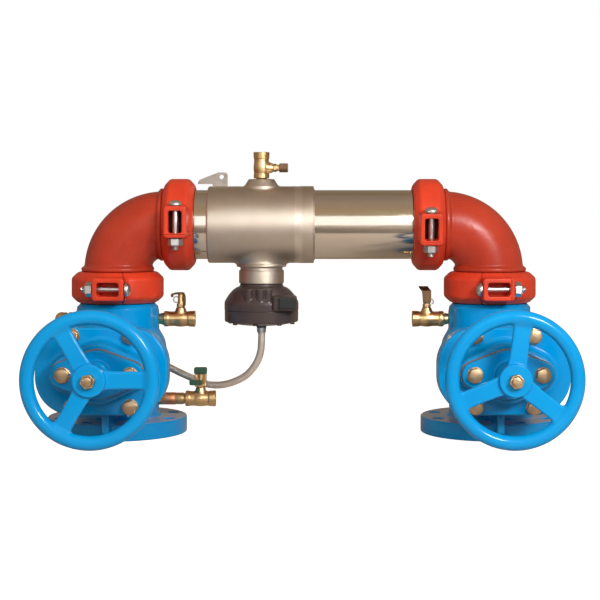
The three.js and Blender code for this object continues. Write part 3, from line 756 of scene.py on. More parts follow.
def bonnet(x, y, z):
    front, up = -y, z - STEM_Z
    flange = meet(plate(x, up, *COVER), slab(front, 172, 194), 3.5)
    draft = np.clip(front - 196, 0, 40) * 0.1
    dome = meet(eye(x, up, 48.5, 29, 46) + draft, slab(front, 185, 227.5), 4)
    pocket = meet(plate(x, up, 64, 54, 12), slab(front, 160, 206))
    bore = post(x, up, SHAFT_BORE_R, front, 150, 240)
    collar = post(x, up, 21, front, 215.8, 240)
    return without(join(flange, dome, 7), join(join(pocket, bore), collar), 0.6)


def seal_plate(x, y, z):
    front, up = -y, z - STEM_Z
    flat = meet(eye(x, up, 37, 19.5, PLATE_REACH), slab(front, 230.2, 243), 2.5)
    gland = post(x, up, 21 - np.clip(front - 254, 0, 20) * 0.3, front, 235, 262, 2)
    return without(join(flat, gland, 3), disc(x, up, SHAFT_BORE_R), 0.8)


def seal_gasket():
    """The thin sheet between bonnet and seal plate, a little wider than the plate."""
    middle_r, end_r, points = 38.3, 20.8, 14
    slope = asin((middle_r - end_r) / PLATE_REACH)
    outline = []
    for reach, bearing in ((PLATE_REACH, 0), (-PLATE_REACH, pi)):
        end_start = bearing - pi / 2 + slope
        outline += circle_points(reach, 0, end_r, points, end_start, pi - 2 * slope)
        outline += circle_points(0, 0, middle_r, points, bearing + pi / 2 - slope, 2 * slope)
    return raised(outline, 226.7, 230.1, "front", 0.3)


def handwheel(x, y, z, spoke_turn):
    front, up = -y, z - STEM_Z
    rim = np.hypot((np.hypot(x, up) - RIM_R) / 1.04, (front - WHEEL_AT) / 0.98) - RIM_THICK_R
    hub = post(x, up, HUB_R, front, 292, 320, 2)
    along, across = around(x, up, 3, radians(spoke_turn))
    half = 12.8 + 1.2 * ((along - 57) / 34) ** 2
    bar = meet(np.abs(across) - half, slab(front, WHEEL_AT - 5, WHEEL_AT + 4.5), 3.5)
    shape = join(join(hub, meet(bar, slab(along, 0, 91)), 2.5), rim, 5)
    return without(shape, disc(x, up, 9.3), 0.5)


def stem_shape():
    shaft = lathe(rounded([
        (0, 62), (SHAFT_R, 62), (SHAFT_R, 216.5), (COLLAR_R, 216.5), (COLLAR_R, 227.5),
        (SHAFT_R, 227.5), (SHAFT_R, 291.6), (9, 291.6), (9, 320.3), (6.9, 320.3), (6.9, 321),
        (0, 321),
    ], 0.6, 3), "front", 48)
    return combined(shaft, moved(threaded(6.9, 320.5, 334, 2.0, 0.8), turn(90, "X")))


def wheel_nut(x, y, z):
    return without(hex_head(x, y, z, 19, 10.4), disc(x, y, 7.2), 0.4)


def cover_bolt(x, y, z):
    """A hexagon head on a round washer."""
    washer = post(x, y, 12.3, z, 0, 1.8, 0.5)
    head = meet(hex_head(x, y, z - 1.6, 20, 10.4), ball(x, y, z + 40, 51.2), 1)
    return join(washer, head, 0.6)


def cover_nut():
    nut = raised(circle_points(0, 0, 11.5, 6), 0.1, 10, "z", 0.8)
    return combined(nut, threaded(6, 5, 14, 1.75, 0.7))


def build_valve(side, spoke_turn, left_bosses, right_bosses):
    place = at(VALVE_X[side], 0)
    stem = place @ shift(0, 0, STEM_Z)
    name, wheel = side + "_", side + "_wheel"
    cast(name + "valve_body_casting", lambda *p: valve_body(*p, left_bosses, right_bosses),
         (-115, -171, 0), (115, 115, VALVE_HEIGHT), 2.0, "blue_epoxy", place, name + "valve_body")
    cover = field_mesh("bonnet", bonnet, (-103, -229, 52), (103, -171, 188), 1.6)
    piece(name + "bonnet_casting", cover, "blue_epoxy", place, name + "bonnet")
    lid = field_mesh("seal_plate", seal_plate, (-71, -263, 82), (71, -228, 158), 1.2)
    piece(name + "seal_plate_casting", lid, "blue_epoxy", place, name + "seal_plate")
    sheet_mesh = shape_mesh("seal_gasket", seal_gasket())
    piece(name + "seal_gasket", sheet_mesh, "rubber", stem, look="fibre_gasket")
    cast(name + "wheel_casting", lambda *p: handwheel(*p, spoke_turn),
         (-103, -321, 18), (103, -291, 223), 1.4, "blue_epoxy", place, name + "handwheel", wheel)
    screw = shape_mesh("stem", stem_shape())
    piece(name + "stem", screw, "bronze", stem, name + "valve_stem", wheel)
    nut = field_mesh("wheel_nut", wheel_nut, (-12, -12, 0), (12, 12, 12), 0.5)
    spot = stem @ shift(0, -320.5, 0) @ turn(90, "X") @ turn(12, "Z")
    piece(name + "wheel_nut", nut, "bronze", spot, name + "handwheel_nut", wheel)
    head = field_mesh("cover_bolt", cover_bolt, (-14, -14, -2), (14, 14, 12), 0.6)
    back_nut = shape_mesh("cover_nut", cover_nut())
    for kind, mesh, places, y, tip, first, step in (
        ("bonnet_bolt", head, COVER_BOLTS, -194, 90, 0, 17),
        ("bonnet_nut", back_nut, COVER_BOLTS, -151, -90, 0, 23),
        ("seal_plate_bolt", head, PLATE_BOLTS, -243, 90, 9, 14),
    ):
        for i, (x, z) in enumerate(places):
            spot = stem @ shift(x, y, z) @ turn(tip, "X") @ turn(first + step * i, "Z")
            piece(f"{name}{kind}_{i + 1}", mesh, "bronze", spot)


build_valve("inlet", 0, [COCK_Z], [COCK_Z, LOW_COCK_Z])
build_valve("outlet", 82, [COCK_Z], [])

# ---- Grooved couplings: pipe along X, bolts along Z at front and back ----

SPLIT_LEAN = atan2(13, BOLT_AT)
OUTWARD = 5.5  # degrees by which the lower couplings' front bolts stand apart
RUN_SPIN = 7.5  # the same for the outlet coupling on the run
RING_R, RING_HALF = 75.7, 25.7
KEY_FLOOR_R = 57.4
SEAL_R, SEAL_HALF = 69.2, 16.5


def bolt_window(x, y, z, floor):
    """The front opening down to a floor in front of the pipe's axis, with the bolt's own hole."""
    window = meet(plate(x, z - 5, 22, 36, 4), floor + y, 1)
    hole = disc(x, y + BOLT_AT, 6)
    return join(window, meet(hole, slab(z, -30, 40)))


def coupling(x, y, z, seam_z):
    """Couplings with their seam above the bolt have shallow windows; the others show the seal."""
    r, wide = np.hypot(y, z), np.abs(x)
    floor = 71 if seam_z > 0 else 60
    flank = (wide - RING_HALF + (r - 64.5) * 0.911) * 0.739
    shape = meet(meet(meet(wide - RING_HALF, r - RING_R, 2), flank, 2.5), 30 - r)
    both_sides = [(y, z), (-y, -z)]
    for out, up in both_sides:
        pad = meet(plate(x, up - 5, 37, 52, 6), slab(-out, 50, 97), 3)
        shape = join(shape, pad, 4)
    for out, up in both_sides:
        shape = without(shape, bolt_window(x, out, up, floor), 1.5)
    for out, up in both_sides:
        head = post(x, out + BOLT_AT, 12.5, up, 31, 48, 1.5)
        nut = post(x, out + BOLT_AT, 13.8, up, -46, -21, 1.5)
        shape = without(without(shape, head, 1.5), nut, 1.5)
    lean = atan2(-seam_z, BOLT_AT)
    seam = slab(z * cos(lean) - y * sin(lean), -0.9, 0.9)
    shape = without(shape, meet(seam, -shape - 1.6), 0.5)
    cavity = join(meet(r - 69.5, wide - 17.4), r - KEY_FLOOR_R)
    return without(shape, cavity, 0.8)


def coupling_half(x, y, z, seam_z):
    """One casting; a dark seam crosses it at a height beside the bolt."""
    across = z * cos(SPLIT_LEAN) - y * sin(SPLIT_LEAN)
    return meet(coupling(x, y, z, seam_z), 0.2 - across, 0.8)


def coupling_gasket():
    """A C section with its lips toward the pipe."""
    inner, lip, hollow = 57.3, 8, 63
    return lathe(rounded([
        (inner, -SEAL_HALF), (SEAL_R, -SEAL_HALF), (SEAL_R, SEAL_HALF), (inner, SEAL_HALF),
        (inner, lip), (hollow, lip), (hollow, -lip), (inner, -lip),
    ], 1.5, 3, closed=True), "x", 96)


def coupling_bolt():
    """A track bolt: domed head above, plain shank, thread and nut below."""
    dome = [(0, 31.3), (10.8, 31.3), (10.8, 34.5), (9, 37.5, 3), (5, 39.8, 3), (0, 40.2)]
    head = lathe(rounded(dome, 0.8), "z", 40)
    shank = lathe(rounded([(0, -14), (4.9, -14), (4.9, 32), (0, 32)], 0.3), "z", 32)
    points, faces = threaded(5, -40, -13, 1.5, 0.6)
    flipped = (points * (1, 1, -1) - (0, 0, 53), [face[::-1] for face in faces])
    nut = raised(circle_points(0, 0, 12.1, 6), -33, -21.4, "z", 1.1)
    return combined(head, shank, flipped, nut)


def build_coupling(name, place, seam_z):
    half = field_mesh(f"coupling_half_{seam_z}", lambda *p: coupling_half(*p, seam_z),
                      (-26, -98, -25), (26, 98, 77), 1.1)
    seal = shape_mesh("coupling_gasket", coupling_gasket())
    bolt = shape_mesh("coupling_bolt", coupling_bolt())
    over = place @ turn(180, "X")
    to_bolt = shift(0, -BOLT_AT, 0)
    piece(name + "_head_casting", half, "orange_paint", place, name + "_head_half")
    piece(name + "_nut_casting", half, "orange_paint", over, name + "_nut_half")
    piece(name + "_seal", seal, "rubber", place, name + "_gasket")
    piece(name + "_bolt_1", bolt, "zinc", place @ to_bolt, name + "_front_bolt")
    piece(name + "_bolt_2", bolt, "zinc", over @ to_bolt @ turn(14, "Z"), name + "_back_bolt")


for end, lean, seam, run_spin in (("inlet", 90, 30, 0), ("outlet", -90, 36, RUN_SPIN)):
    low_joint, high_joint = (Matrix.Translation(middle(f"{end}_{joint}_coupling_gasket"))
                             for joint in ("valve", "elbow"))
    build_coupling(end + "_valve_coupling", low_joint @ turn(lean, "Y") @ turn(OUTWARD, "X"), seam)
    build_coupling(end + "_elbow_coupling", high_joint @ turn(run_spin, "X"), -21.5)

# ---- Elbows: up from zero, round a quarter bend, and out along X ----

ELBOW_REACH = 101.6
BEND_R = 76.0
ELBOW_R, ELBOW_BORE_R = 55.0, 50
BEAD_R = 60
STRAIGHT = ELBOW_REACH - BEND_R


def elbow(x, y, z):
    rise = np.hypot(x, y)
    level = np.hypot(z - ELBOW_REACH, y)
    bend = np.hypot(np.hypot(x - BEND_R, z - STRAIGHT) - BEND_R, y)
    off = np.where(z < STRAIGHT, rise, np.where(x > BEND_R, level, bend))
    shape = meet(meet(off - ELBOW_R, -z), x - ELBOW_REACH)
    for place, along in ((rise, z), (level, ELBOW_REACH - x)):
        end = rod(place, PIPE_R, along, 0, 27, 0.8)
        bead = rod(place, BEAD_R, along, 25, 31.5, 2.5)
        groove = meet(slab(along, *GROOVE), GROOVE_R - place)
        shape = without(join(join(shape, bead, 5), end), groove)
    return without(shape, off - ELBOW_BORE_R, 0.8)


elbow_mesh = field_mesh("elbow", elbow, (-64, -64, 0), (105, 64, 169), 1.8)
ELBOW_FOOT = middle("inlet_valve_coupling_gasket").z + 1.5 * MM
for side, spin in (("inlet", 0), ("outlet", 180)):
    spot = at(VALVE_X[side], ELBOW_FOOT) @ turn(spin, "Z")
    piece(side + "_elbow_casting", elbow_mesh, "red_paint", spot, side + "_elbow")

# ---- Check housing: satin barrel, polished tube, relief neck, test cock boss and tag tab ----

RELIEF_X = RELIEF.x / MM
RUN_END = 203.4
BARREL_R, GROUND_R = 63.5, 63.8
TUBE_BORE_R = 54
TUBE_START, STUB_START = 14, -156


def barrel(x, y, z):
    """In the run's frame: X along the run from the object's middle, Z up from the run's axis."""
    r = np.hypot(y, z)
    shell = rod(r, BARREL_R, x, -158, 17, 3)
    ground = rod(r, GROUND_R, x, -7, 16.5, 0.8)
    shell = join(shell, ground, 0.3)
    down = np.hypot(x - RELIEF_X, y)
    neck = rod(down, 37.3, z, -96.7, -20, 0.8)
    collar = rod(down, 38.8, z, -70, -20, 1.5)
    boss = meet(down - 21.5 - 0.6 * np.clip(75 - z, 0, 12), slab(z, 20, 75.3), 1)
    bead = np.hypot(down - 38.2, z + 67.4) - 3.1
    shape = join(shell, join(neck, collar), 9)
    shape = join(join(shape, boss, 3), bead, 0.6)
    shape = without(shape, meet(slab(z, -75.5, -70), 35 - down), 0.6)
    cavity = join(rod(r, 60.5, x, -153, 12), r - 55)
    cavity = join(join(cavity, meet(down - 32, z + 20)), meet(down - 6, 20 - z))
    return without(shape, cavity)


def tube_outline(start, end):
    """A tube from start to its grooved end. Positions count along the run."""
    side = 1 if end > start else -1
    near, far = (end - side * edge for edge in GROOVE)
    return rounded([
        (PIPE_R, start), (PIPE_R, far, 0.5), (GROOVE_R, far, 0.5), (GROOVE_R, near, 0.5),
        (PIPE_R, near, 0.5), (PIPE_R, end), (BORE_R, end), (BORE_R, far - side * 4),
        (TUBE_BORE_R, far - side * 8), (TUBE_BORE_R, start),
    ], 0.8, 3, closed=True)


def weld_ripple(angles, h):
    return 0.25 * np.cos(angles * 70)


def tag_tab():
    """The tab's plate with its hole."""
    outline = rounded([
        (-176, 67, 1), (-151, 67, 1), (-151, 61, 1), (-126, 61, 1), (-126, 86, 4),
        (-141, 87, 4), (-174, 73.5, 3),
    ], 2, 4, closed=True)
    build = bmesh.new()
    rings = []
    for loop in (outline, circle_points(-136, 79, 3.6, 20)):
        verts = [build.verts.new((x, 0, z)) for x, z in loop]
        rings += [build.edges.new((a, b)) for a, b in zip(verts, verts[1:] + verts[:1])]
    bmesh.ops.triangle_fill(build, use_beauty=True, edges=rings)
    made = bmesh.ops.extrude_face_region(build, geom=list(build.faces))
    for vert in (v for v in made["geom"] if isinstance(v, bmesh.types.BMVert)):
        vert.co.y += 2.0
    bmesh.ops.translate(build, verts=build.verts, vec=(0, -1, 0))
    build.verts.index_update()
    points = np.array([v.co for v in build.verts])
    loops = [[v.index for v in face.verts] for face in build.faces]
    build.free()
    # The fill's order changes from run to run, so each face starts at its lowest corner, in order.
    starts = [loop.index(min(loop)) for loop in loops]
    return points, sorted(loop[i:] + loop[:i] for loop, i in zip(loops, starts))


run_place = at(0, RUN)
cast("housing_barrel", barrel, (-158, -65, -98), (18, 65, 76), 1.4,
     "stainless", run_place, "check_housing", look="ground_barrel")
TUBES = [("outlet_tube", TUBE_START, RUN_END), ("inlet_stub", STUB_START, -RUN_END)]
for name, start, end in TUBES:
    tube = lathe(tube_outline(start, end), "x", 192)
    formed("housing_" + name, tube, "stainless", run_place, look="polished_stainless")
weld = lathe(circle_points(57.6, 17.2, 1.1, 10), "x", 280, weld_ripple)
formed("housing_weld", weld, "stainless", run_place, sharp=80)
formed("tag_tab", tag_tab(), "stainless", run_place, look="mill_plate")

# ---- Relief valve: heights above the flange faces, before the pipework's lift ----

RELIEF_R = 61
SPLIT_Z = 196.0  # where the cover meets the body
POST_BEARINGS = (-110.6, -90, -76.6)
SCREW_CIRCLE, SCREW_COUNT = 52, 8
SCREW_START = -99.0  # bearing of the first screw, counted from +X
relief_place = at(RELIEF.x, LIFT)


def relief_body(x, y, z):
    r = np.hypot(x, y)
    collar = rod(r, 35.3, z, 200, 240, 1.5)
    dome_r = 34 + 27 * np.sqrt(np.clip((235 - z) / 25, 0, 1))
    dome = meet((r - dome_r) * 0.7, slab(z, SPLIT_Z + 0.2, 235))
    band = rod(r, RELIEF_R, z, SPLIT_Z + 0.2, 208, 0.8)
    shape = join(join(collar, dome, 4), band, 1)
    for bearing in map(radians, POST_BEARINGS):
        ear = post(x - 53.5 * cos(bearing), y - 53.5 * sin(bearing), 7, z, 204, 233, 2.5)
        shape = join(shape, ear, 1)
    port = meet(meet(slab(x, 20, 59), slab(-y, 20, 64), 4), slab(z, 197.6, 221.5), 4)
    hollow = join(meet(r - 53, z - 211), meet(r - 22, z - 217))
    hollow = join(hollow, meet(r - 28, 216 - z))
    drain = meet(slab(x, -22, 22), meet(slab(y, 40, 90), slab(z, 150, 208)), 2)
    return without(without(join(shape, port, 2), hollow), drain, 1)


def port_cap(x, y, z):
    """The square cap on the port block's front."""
    rim = meet(meet(slab(x, 28.5, 57.5), slab(-y, 60, 65.2), 1), slab(z, 199.5, 220), 1)
    middle_part = meet(meet(slab(x, 31, 55), slab(-y, 60, 66.4), 1), slab(z, 202, 217.5), 1)
    return join(rim, middle_part, 1)


def relief_cover(x, y, z):
    r = np.hypot(x, y)
    side = rod(r, RELIEF_R, z, 171, SPLIT_Z - 0.2, 1)
    taper = (177 - 0.23 * (RELIEF_R - r) - z) * 0.97
    nose = rod(r, 8.3, z, 166, 190, 1)
    shape = join(meet(side, taper, 2), nose, 1.5)
    return without(shape, join(meet(r - 52, 176 - z), r - 4.5), 0.6)


def small_screw(x, y, z):
    """A hexagon screw head hanging down from zero."""
    return meet(hex_head(x, y, -z, 7, 3), ball(x, y, z - 5, 8.2), 0.4)


cast("relief_body", relief_body, (-62, -65, 196), (62, 62, 241), 1.1,
     "black_plastic", relief_place, "relief_valve_body")
cast("relief_cover", relief_cover, (-62, -62, 160), (62, 62, 197), 1.1,
     "black_plastic", relief_place, "relief_valve_cover")
cast("relief_port_cap", port_cap, (28, -67, 199), (58, -60, 221), 0.8,
     "black_plastic", relief_place, look="port_block")
screw_mesh = field_mesh("relief_screw", small_screw, (-6, -6, -5), (6, 6, 0), 0.4)
for i in range(SCREW_COUNT):
    bearing = radians(SCREW_START + 360 / SCREW_COUNT * i)
    spot = relief_place @ shift(SCREW_CIRCLE * cos(bearing), SCREW_CIRCLE * sin(bearing), 175.2)
    piece(f"relief_screw_{i + 1}", screw_mesh, "zinc", spot, look="dark_steel")

# ---- Sensing hose ----

HOSE_R = 5.9
BRAID_BANDS, BRAID_TWIST = 8, 1.1
ELBOW_END_X = VALVE_X["inlet"] / MM - NECK_R - 26
HOSE_BENDS = [
    (RELIEF_X, 0, 164), (RELIEF_X, 1, 145), (RELIEF_X - 2, 8, 125), (-79, 14, 106), (-95, 22, 86),
    (-115, 30, 74), (-138, 38, 67), (-163, 47, 67), (-194, 58, 78), (-230, 72, 93), (-275, 88, 116),
    (-320, 96, 143), (-362, 86, 166), (-392, 58, 179), (ELBOW_END_X, 22, 181),
]


def braid(place, angles):
    """Two crossing sets of wire bands."""
    run_up = angles * BRAID_BANDS + place * BRAID_TWIST
    run_down = angles * BRAID_BANDS - place * BRAID_TWIST
    up = np.abs(np.cos(run_up / 2)) ** 0.7
    down = np.abs(np.cos(run_down / 2)) ** 0.7
    fine = 0.05 * np.cos(run_up * 4) * (up > down) + 0.05 * np.cos(run_down * 4) * (up <= down)
    return HOSE_R - 0.9 + 1.05 * np.maximum(up, down) + fine


def hose_elbow(x, y, z):
    """The street elbow at the valve's neck: its arm runs to +X and its nut to the back."""
    corner = ball(x, y, z, 11)
    arm = post(y, z, 9, x, 0, 25.4, 1)
    collar = post(y, z, 11, x, 12, 17, 1)
    branch = post(x, z, 9.4, y, 0, 14, 1)
    nut = meet(hexagon(x, z, 18), slab(y, 13, 24), 0.8)
    ferrule = post(x, z, 7.4, y, 20, 34, 0.8)
    return join(join(join(corner, arm, 2), collar, 1), join(join(branch, nut, 1), ferrule, 1), 2)


hose = swept(even(catmull(HOSE_BENDS, 40), 0.8 * COARSE), braid, 64)
formed("hose_braid", hose, "braided_steel", at(0, LIFT), "sensing_hose", sharp=80)
ferrule_outline = rounded([(0, 158), (6.8, 158), (7.8, 160), (7.8, 167.5), (0, 167.5)], 0.6)
formed("hose_ferrule", lathe(ferrule_outline, "z", 48), "zinc", relief_place)
cast("hose_elbow", hose_elbow, (-12, -12, -12), (24, 35, 12), 0.7,
     "brass", at(ELBOW_END_X * MM, COCK_Z * MM))

# ---- Test cocks: barrel along local X from the valve, stem up local Z ----

COCK_R = 12.9
STEM_BORE_R = 4.5


def cock_body(x, y, z, nipple, start, ball_at, length):
    """A forged body: tapered shank, shoulder, waist, outlet band, and a neck for the stem."""
    centre, end = nipple + ball_at, nipple + length
    r = np.hypot(y, z)
    shank = meet(r - 8.2 - 0.26 * np.clip(x - nipple, 0, 12), slab(x, nipple - 0.5, centre), 0.4)
    shoulder = rod(r, COCK_R, x, nipple + start, nipple + start + 7, 1)
    waist = rod(r, 12.2, x, nipple + start + 5, end - 6, 1)
    housing = np.hypot((x - centre) / 1.25, r) - COCK_R
    outlet = meet(r - COCK_R - 0.04 * np.clip(x - end + 12, 0, 12), slab(x, end - 11, end), 0.8)
    shape = join(join(shank, shoulder, 2), waist, 1)
    shape = join(join(shape, housing, 2), outlet, 1)
    groove = np.hypot(x - end + 12.5, (r - 13.4)) - 1.1
    shape = without(shape, groove, 0.4)
    neck = post(x - centre, y, 9.6 - 0.3 * np.clip(z - 12, 0, 9), z, 8, 19, 0.8)
    shape = join(shape, neck, 2)
    bore = join(meet(r - 4.5, x - centre), meet(r - 7.6, centre + 8 - x))
    chamber = rod(r, 9.8, x, centre - 10, centre + 9)
    shape = without(without(shape, bore, 0.5), chamber)
    return without(shape, post(x - centre, y, STEM_BORE_R, z, 4, 30))


def cock_stem(x, y, z, top):
    """The ball, its stem, and the gland nut and spindle that carry the handle."""
    sphere = ball(x, y, z, 9.3)
    shaft = post(x, y, 4.1, z, 3, 22, 0.5)
    gland = meet(hexagon(x, y, 12), slab(z, 19.4, 25), 0.6)
    spindle = post(x, y, 5.4 - 0.04 * (z - 24), z, 22, top, 0.8)
    shape = join(join(sphere, shaft, 0.5), join(gland, spindle, 0.8))
    return without(shape, disc(y, z, 4.5), 0.5)


def strap(outline, half_width, thick):
    """A bent strap: its centre line in the XZ plane, its width along Y."""
    line = np.array(rounded(outline, 4, 6), float)
    ahead = np.gradient(line, axis=0)
    ahead /= np.linalg.norm(ahead, axis=1)[:, None]
    off = np.stack([-ahead[:, 1], ahead[:, 0]], 1) * thick / 2
    loop = [tuple(p) for p in line + off] + [tuple(p) for p in (line - off)[::-1]]
    return raised(loop, -half_width, half_width, "front", 0.45)


def folded_lever():
    """A wide strap in front of the stem that folds back over its top."""
    front = raised([(-6.5, 27), (7, 27), (7.3, 46.5), (-8, 46.5)], 3.5, 7.5, "front", 0.6)
    flap = raised([(-7.8, 0), (7.2, 0), (2, 12.5), (-13, 12.5)], -1.6, 1.6, "z", 0.6)
    flap = moved(flap, Matrix.Translation((0, -6, 45.6)) @ turn(36, "X"))
    hub = lathe([(0, 26), (5.6, 26), (5.4, 45), (0, 45)], "z", 32)
    return combined(front, flap, hub)


def dipped_handle(x, y, z):
    """The vinyl-dipped ends of a strap handle: its wide top, and the stop tab at its foot."""
    top = meet(plate(y, z - 46.5, 21.5, 11, 3), slab(x, -9, 3.5), 2.5)
    foot = meet(plate(y - 7.5, z - 26.5, 22, 9, 3), slab(x, -7.5, -2.2), 2)
    return join(top, foot)


def handle_legs(x, y, z):
    """The bare strap between the dipped ends."""
    lean = 8.6 - 0.05 * (47 - z)
    legs = meet(meet(slab(np.abs(y) - lean, -1.8, 1.8), slab(z, 20, 48)), slab(x, -4, 2.5), 1)
    bridge = meet(meet(np.abs(y) - 9.5, slab(z, 20, 24), 1), slab(x, -4, 2.5), 1)
    web = meet(meet(np.abs(y) - 8.5, slab(z, 20, 44)), slab(x, -1.6, 1.4))
    return without(join(join(legs, bridge, 1.5), web), disc(x, y, 4), 0.3)


def beside_valve(side, direction, z):
    """The frame of a test cock that stands out from a valve's neck."""
    x = VALVE_X[side] + direction * (BOSS_FACE + 0.3) * MM
    return at(x, z * MM) @ turn(180 if direction < 0 else 0, "Z")


def pipe_piece(r, start, end):
    outline = [(4.6, start), (r, start), (r, end), (4.6, end)]
    return lathe(rounded(outline, 0.4, 3, closed=True), "x", 64)


SHORT_COCK = (0, 9, 36.5, 60.5, 44)
NIPPLE_END, SHANK_END = 28, 41.5
low_cock = beside_valve("inlet", 1, LOW_COCK_Z)
upright = at(RELIEF.x, RUN + 75.7 * MM) @ turn(-90, "Y") @ turn(180, "X")
# Each cock's frame, sizes (nipple, shoulder, ball, length and the handle's top) and handle's turn.
COCKS = [
    (low_cock, (SHANK_END, 3, 28, 53, 50), 90),
    (beside_valve("inlet", 1, COCK_Z), SHORT_COCK, 0),
    (upright, (0, 1, 18.3, 44.3, 44), -90),
    (beside_valve("outlet", -1, COCK_Z), SHORT_COCK, 180),
]
lever = [(6.2, 22), (6.2, 36), (4.5, 42.3), (-8, 42.1), (-15.5, 40), (-13.5, 36)]
left_ring = [(-4, 36), (-9.5, 36.8), (-13, 32), (-9.5, 26.5), (-4, 28)]
right_ring = [(5, 24), (9, 23), (12, 28), (9, 33), (5, 32)]
block = raised([(-7.7, 29.4), (7.7, 29.4), (7.7, 44), (-7.7, 44)], -7.3, 7.3, "front", 1.2)
LEVERS = [None, strap(lever, 6, 3.4), block, folded_lever()]
RINGS = [None, strap(left_ring, 3, 2.2), None, strap(right_ring, 3, 2.2)]
for i, (place, (nipple, start, ball_at, length, top), spin) in enumerate(COCKS):
    name, handle = f"test_cock_{i + 1}_", f"test_handle_{i + 1}"
    forging = field_mesh(
        f"cock_{nipple}_{ball_at}", lambda *p: cock_body(*p, nipple, start, ball_at, length),
        (nipple - 2, -14, -14), (nipple + length, 14, 20), 0.7)
    piece(name + "forging", forging, "brass", place, name + "body")
    on_stem = place @ shift(nipple + ball_at, 0, 0)
    stem_mesh = field_mesh(f"cock_stem_{top}", lambda *p: cock_stem(*p, top - 3.4),
                           (-10, -10, -10), (10, 10, top - 3), 0.6)
    piece(name + "stem", stem_mesh, "brass", on_stem, name + "ball_and_handle", handle)
    spot = on_stem @ turn(spin, "Z")
    if LEVERS[i]:
        formed(name + "lever", LEVERS[i], "brass", spot, body=handle, look="dark_bronze", sharp=40)
    else:
        cast(name + "strap", handle_legs, (-5, -12, 19), (3, 12, 49), 0.6,
             "brass", spot, body=handle)
        cast(name + "handle", dipped_handle, (-12, -20, 18), (6, 20, 54), 0.6,
             "green_vinyl", spot, body=handle)
    if RINGS[i]:
        formed(name + "ring", RINGS[i], "zinc", spot, body=handle, sharp=40)

formed("test_cock_1_nipple", pipe_piece(10.2, 0, NIPPLE_END), "brass", low_cock, look="copper")
formed("test_cock_1_shank", pipe_piece(9.7, NIPPLE_END, SHANK_END), "brass", low_cock)

# ---- Setting: pale floor, soft light, camera ----

FLOOR_GLOW = 0.9


def floor_look():
    """Pale floor. It mirrors in the metal as a warmer tone, as a wide room would."""
    look = Look("floor")
    rays = look.add("LightPath")
    pale = look.blend(look.spread(look.noise(3, 2), 0, 0.3), (0.9, 0.9, 0.9), (0.88, 0.88, 0.88))
    tone = look.blend(rays.outputs["Is Glossy Ray"], pale, (0.9, 0.8, 0.7))
    tone = look.blend(rays.outputs["Is Diffuse Ray"], tone, (0.4, 0.36, 0.33))
    look.set(Base_Color=tone, Roughness=0.9, Specular_IOR_Level=0.0)
    look.set(Emission_Color=(1, 1, 1, 1))
    look.set(Emission_Strength=look.spread(rays.outputs["Is Camera Ray"], 0, FLOOR_GLOW, 0, 1))
    return look.material


def sheet(name, x_half, y_low, y_high, z, look):
    mesh = bpy.data.meshes.new(name)
    corners = [(-x_half, y_low, z), (x_half, y_low, z), (x_half, y_high, z), (-x_half, y_high, z)]
    mesh.from_pydata(corners, [], [(0, 1, 2, 3)])
    mesh.materials.append(look)
    obj = new_object(name, mesh)
    return obj


sheet("floor", 30, -12, 60, -0.0005, floor_look())
# A dark sheet in front of the object, which only mirrors in it.
shade = Look("flag")
shade_tone = shade.blend(shade.noise(5), (0.28, 0.24, 0.2), (0.24, 0.2, 0.17))
shade.set(Base_Color=shade_tone, Roughness=0.9)
flag = sheet("dark_flag", 4, AXIS_Y - 2.4, AXIS_Y - 0.62, 0.02, shade.material)
for seen in ("visible_camera", "visible_diffuse", "visible_shadow", "visible_transmission"):
    setattr(flag, seen, False)


def soft_light(name, place, target, width, height, watts):
    data = bpy.data.lights.new(name, "AREA")
    data.shape = "RECTANGLE"
    data.size, data.size_y, data.energy = width, height, watts
    obj = new_object(name, data)
    obj.location = place
    obj.rotation_mode = "QUATERNION"
    obj.rotation_quaternion = (Vector(target) - Vector(place)).to_track_quat("-Z", "Y")
    return obj


CENTRE = (0, AXIS_Y, 0.25)
front_card = soft_light("front_card", (0, AXIS_Y - 3.3, 1.1), (0, AXIS_Y, 0.4), 5.0, 1.9, 34)
soft_light("key_box", (1.1, AXIS_Y - 2.1, 1.15), CENTRE, 0.45, 0.45, 27)
fill = soft_light("fill", (0.2, AXIS_Y - 3.0, 1.6), CENTRE, 3.0, 2.0, 58)
fill.visible_glossy = False
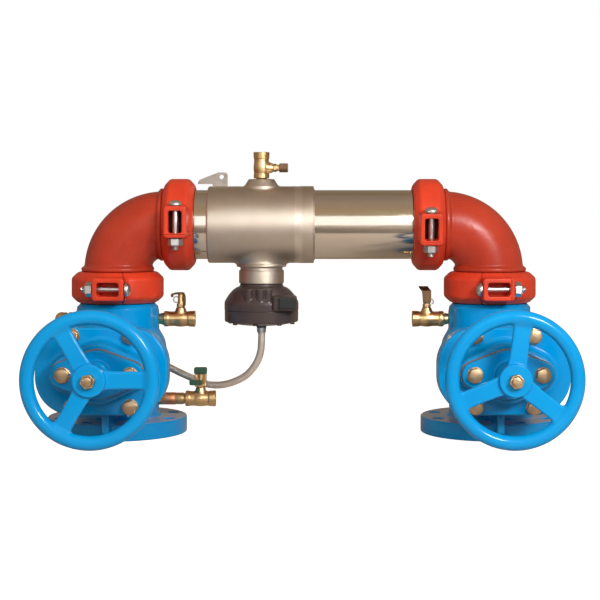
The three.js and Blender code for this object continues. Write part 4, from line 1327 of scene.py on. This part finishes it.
# The wide card mirrors in bare metal only; it would wash the paint out.
bare_looks = [LOOKS[key] for key in METALS]
bare_metal = bpy.data.collections.new("bare_metal")
for obj in SCENE.objects:
    if obj.type == "MESH" and obj.data.materials and obj.data.materials[0] in bare_looks:
        bare_metal.objects.link(obj)
front_card.light_linking.receiver_collection = bare_metal

# The room that the metal mirrors, by height from below to above. The camera sees white instead.
ROOM_BANDS = [
    (0.0, (0.4, 0.35, 0.3)), (0.45, (0.4, 0.35, 0.3)), (0.52, (0.5, 0.38, 0.25)),
    (0.85, (0.42, 0.31, 0.2)), (0.95, (0.4, 0.31, 0.24)), (1.0, (0.36, 0.28, 0.22)),
]
world = bpy.data.worlds.new("studio")
SCENE.world = world
world.use_nodes = True
world.node_tree.nodes.clear()
sky = Nodes(world.node_tree)
rays = sky.add("LightPath").outputs
direction = sky.parts(sky.add("TexCoord").outputs["Generated"])
ramp = sky.add("ValToRGB", None, direction["Z"])
while len(ramp.color_ramp.elements) < len(ROOM_BANDS):
    ramp.color_ramp.elements.new(0.5)
for element, (position, color) in zip(ramp.color_ramp.elements, ROOM_BANDS):
    element.position = position
    element.color = (*color, 1)
behind = sky.spread(direction["Y"], 1.0, 0.6, -0.1, 0.6)
dimmed = sky.add("VectorMath", {"operation": "SCALE"}, ramp.outputs[0], Scale=behind)
softer = sky.spread(rays["Is Diffuse Ray"], 1.0, 0.6, 0, 1)
room = sky.add("Background", None, dimmed.outputs[0], softer)
white = sky.add("Background", None, (1, 1, 1, 1), 1.0)
mixer = sky.add("MixShader", None, rays["Is Camera Ray"], room.outputs[0], white.outputs[0])
sky.add("OutputWorld", None, mixer.outputs[0])

CAMERA_AWAY = 2.43  # in front of the pipe axis
camera_data = bpy.data.cameras.new("camera")
camera_data.sensor_width = 36
camera_data.lens = 87.96
camera_data.shift_x = -0.0227
camera_data.shift_y = -0.1488
camera = new_object("camera", camera_data)
camera.location = (0.0164, AXIS_Y - CAMERA_AWAY, 0.3655)
camera.rotation_euler = (pi / 2, 0, 0)
SCENE.camera = camera
SCENE.view_settings.view_transform = "Standard"
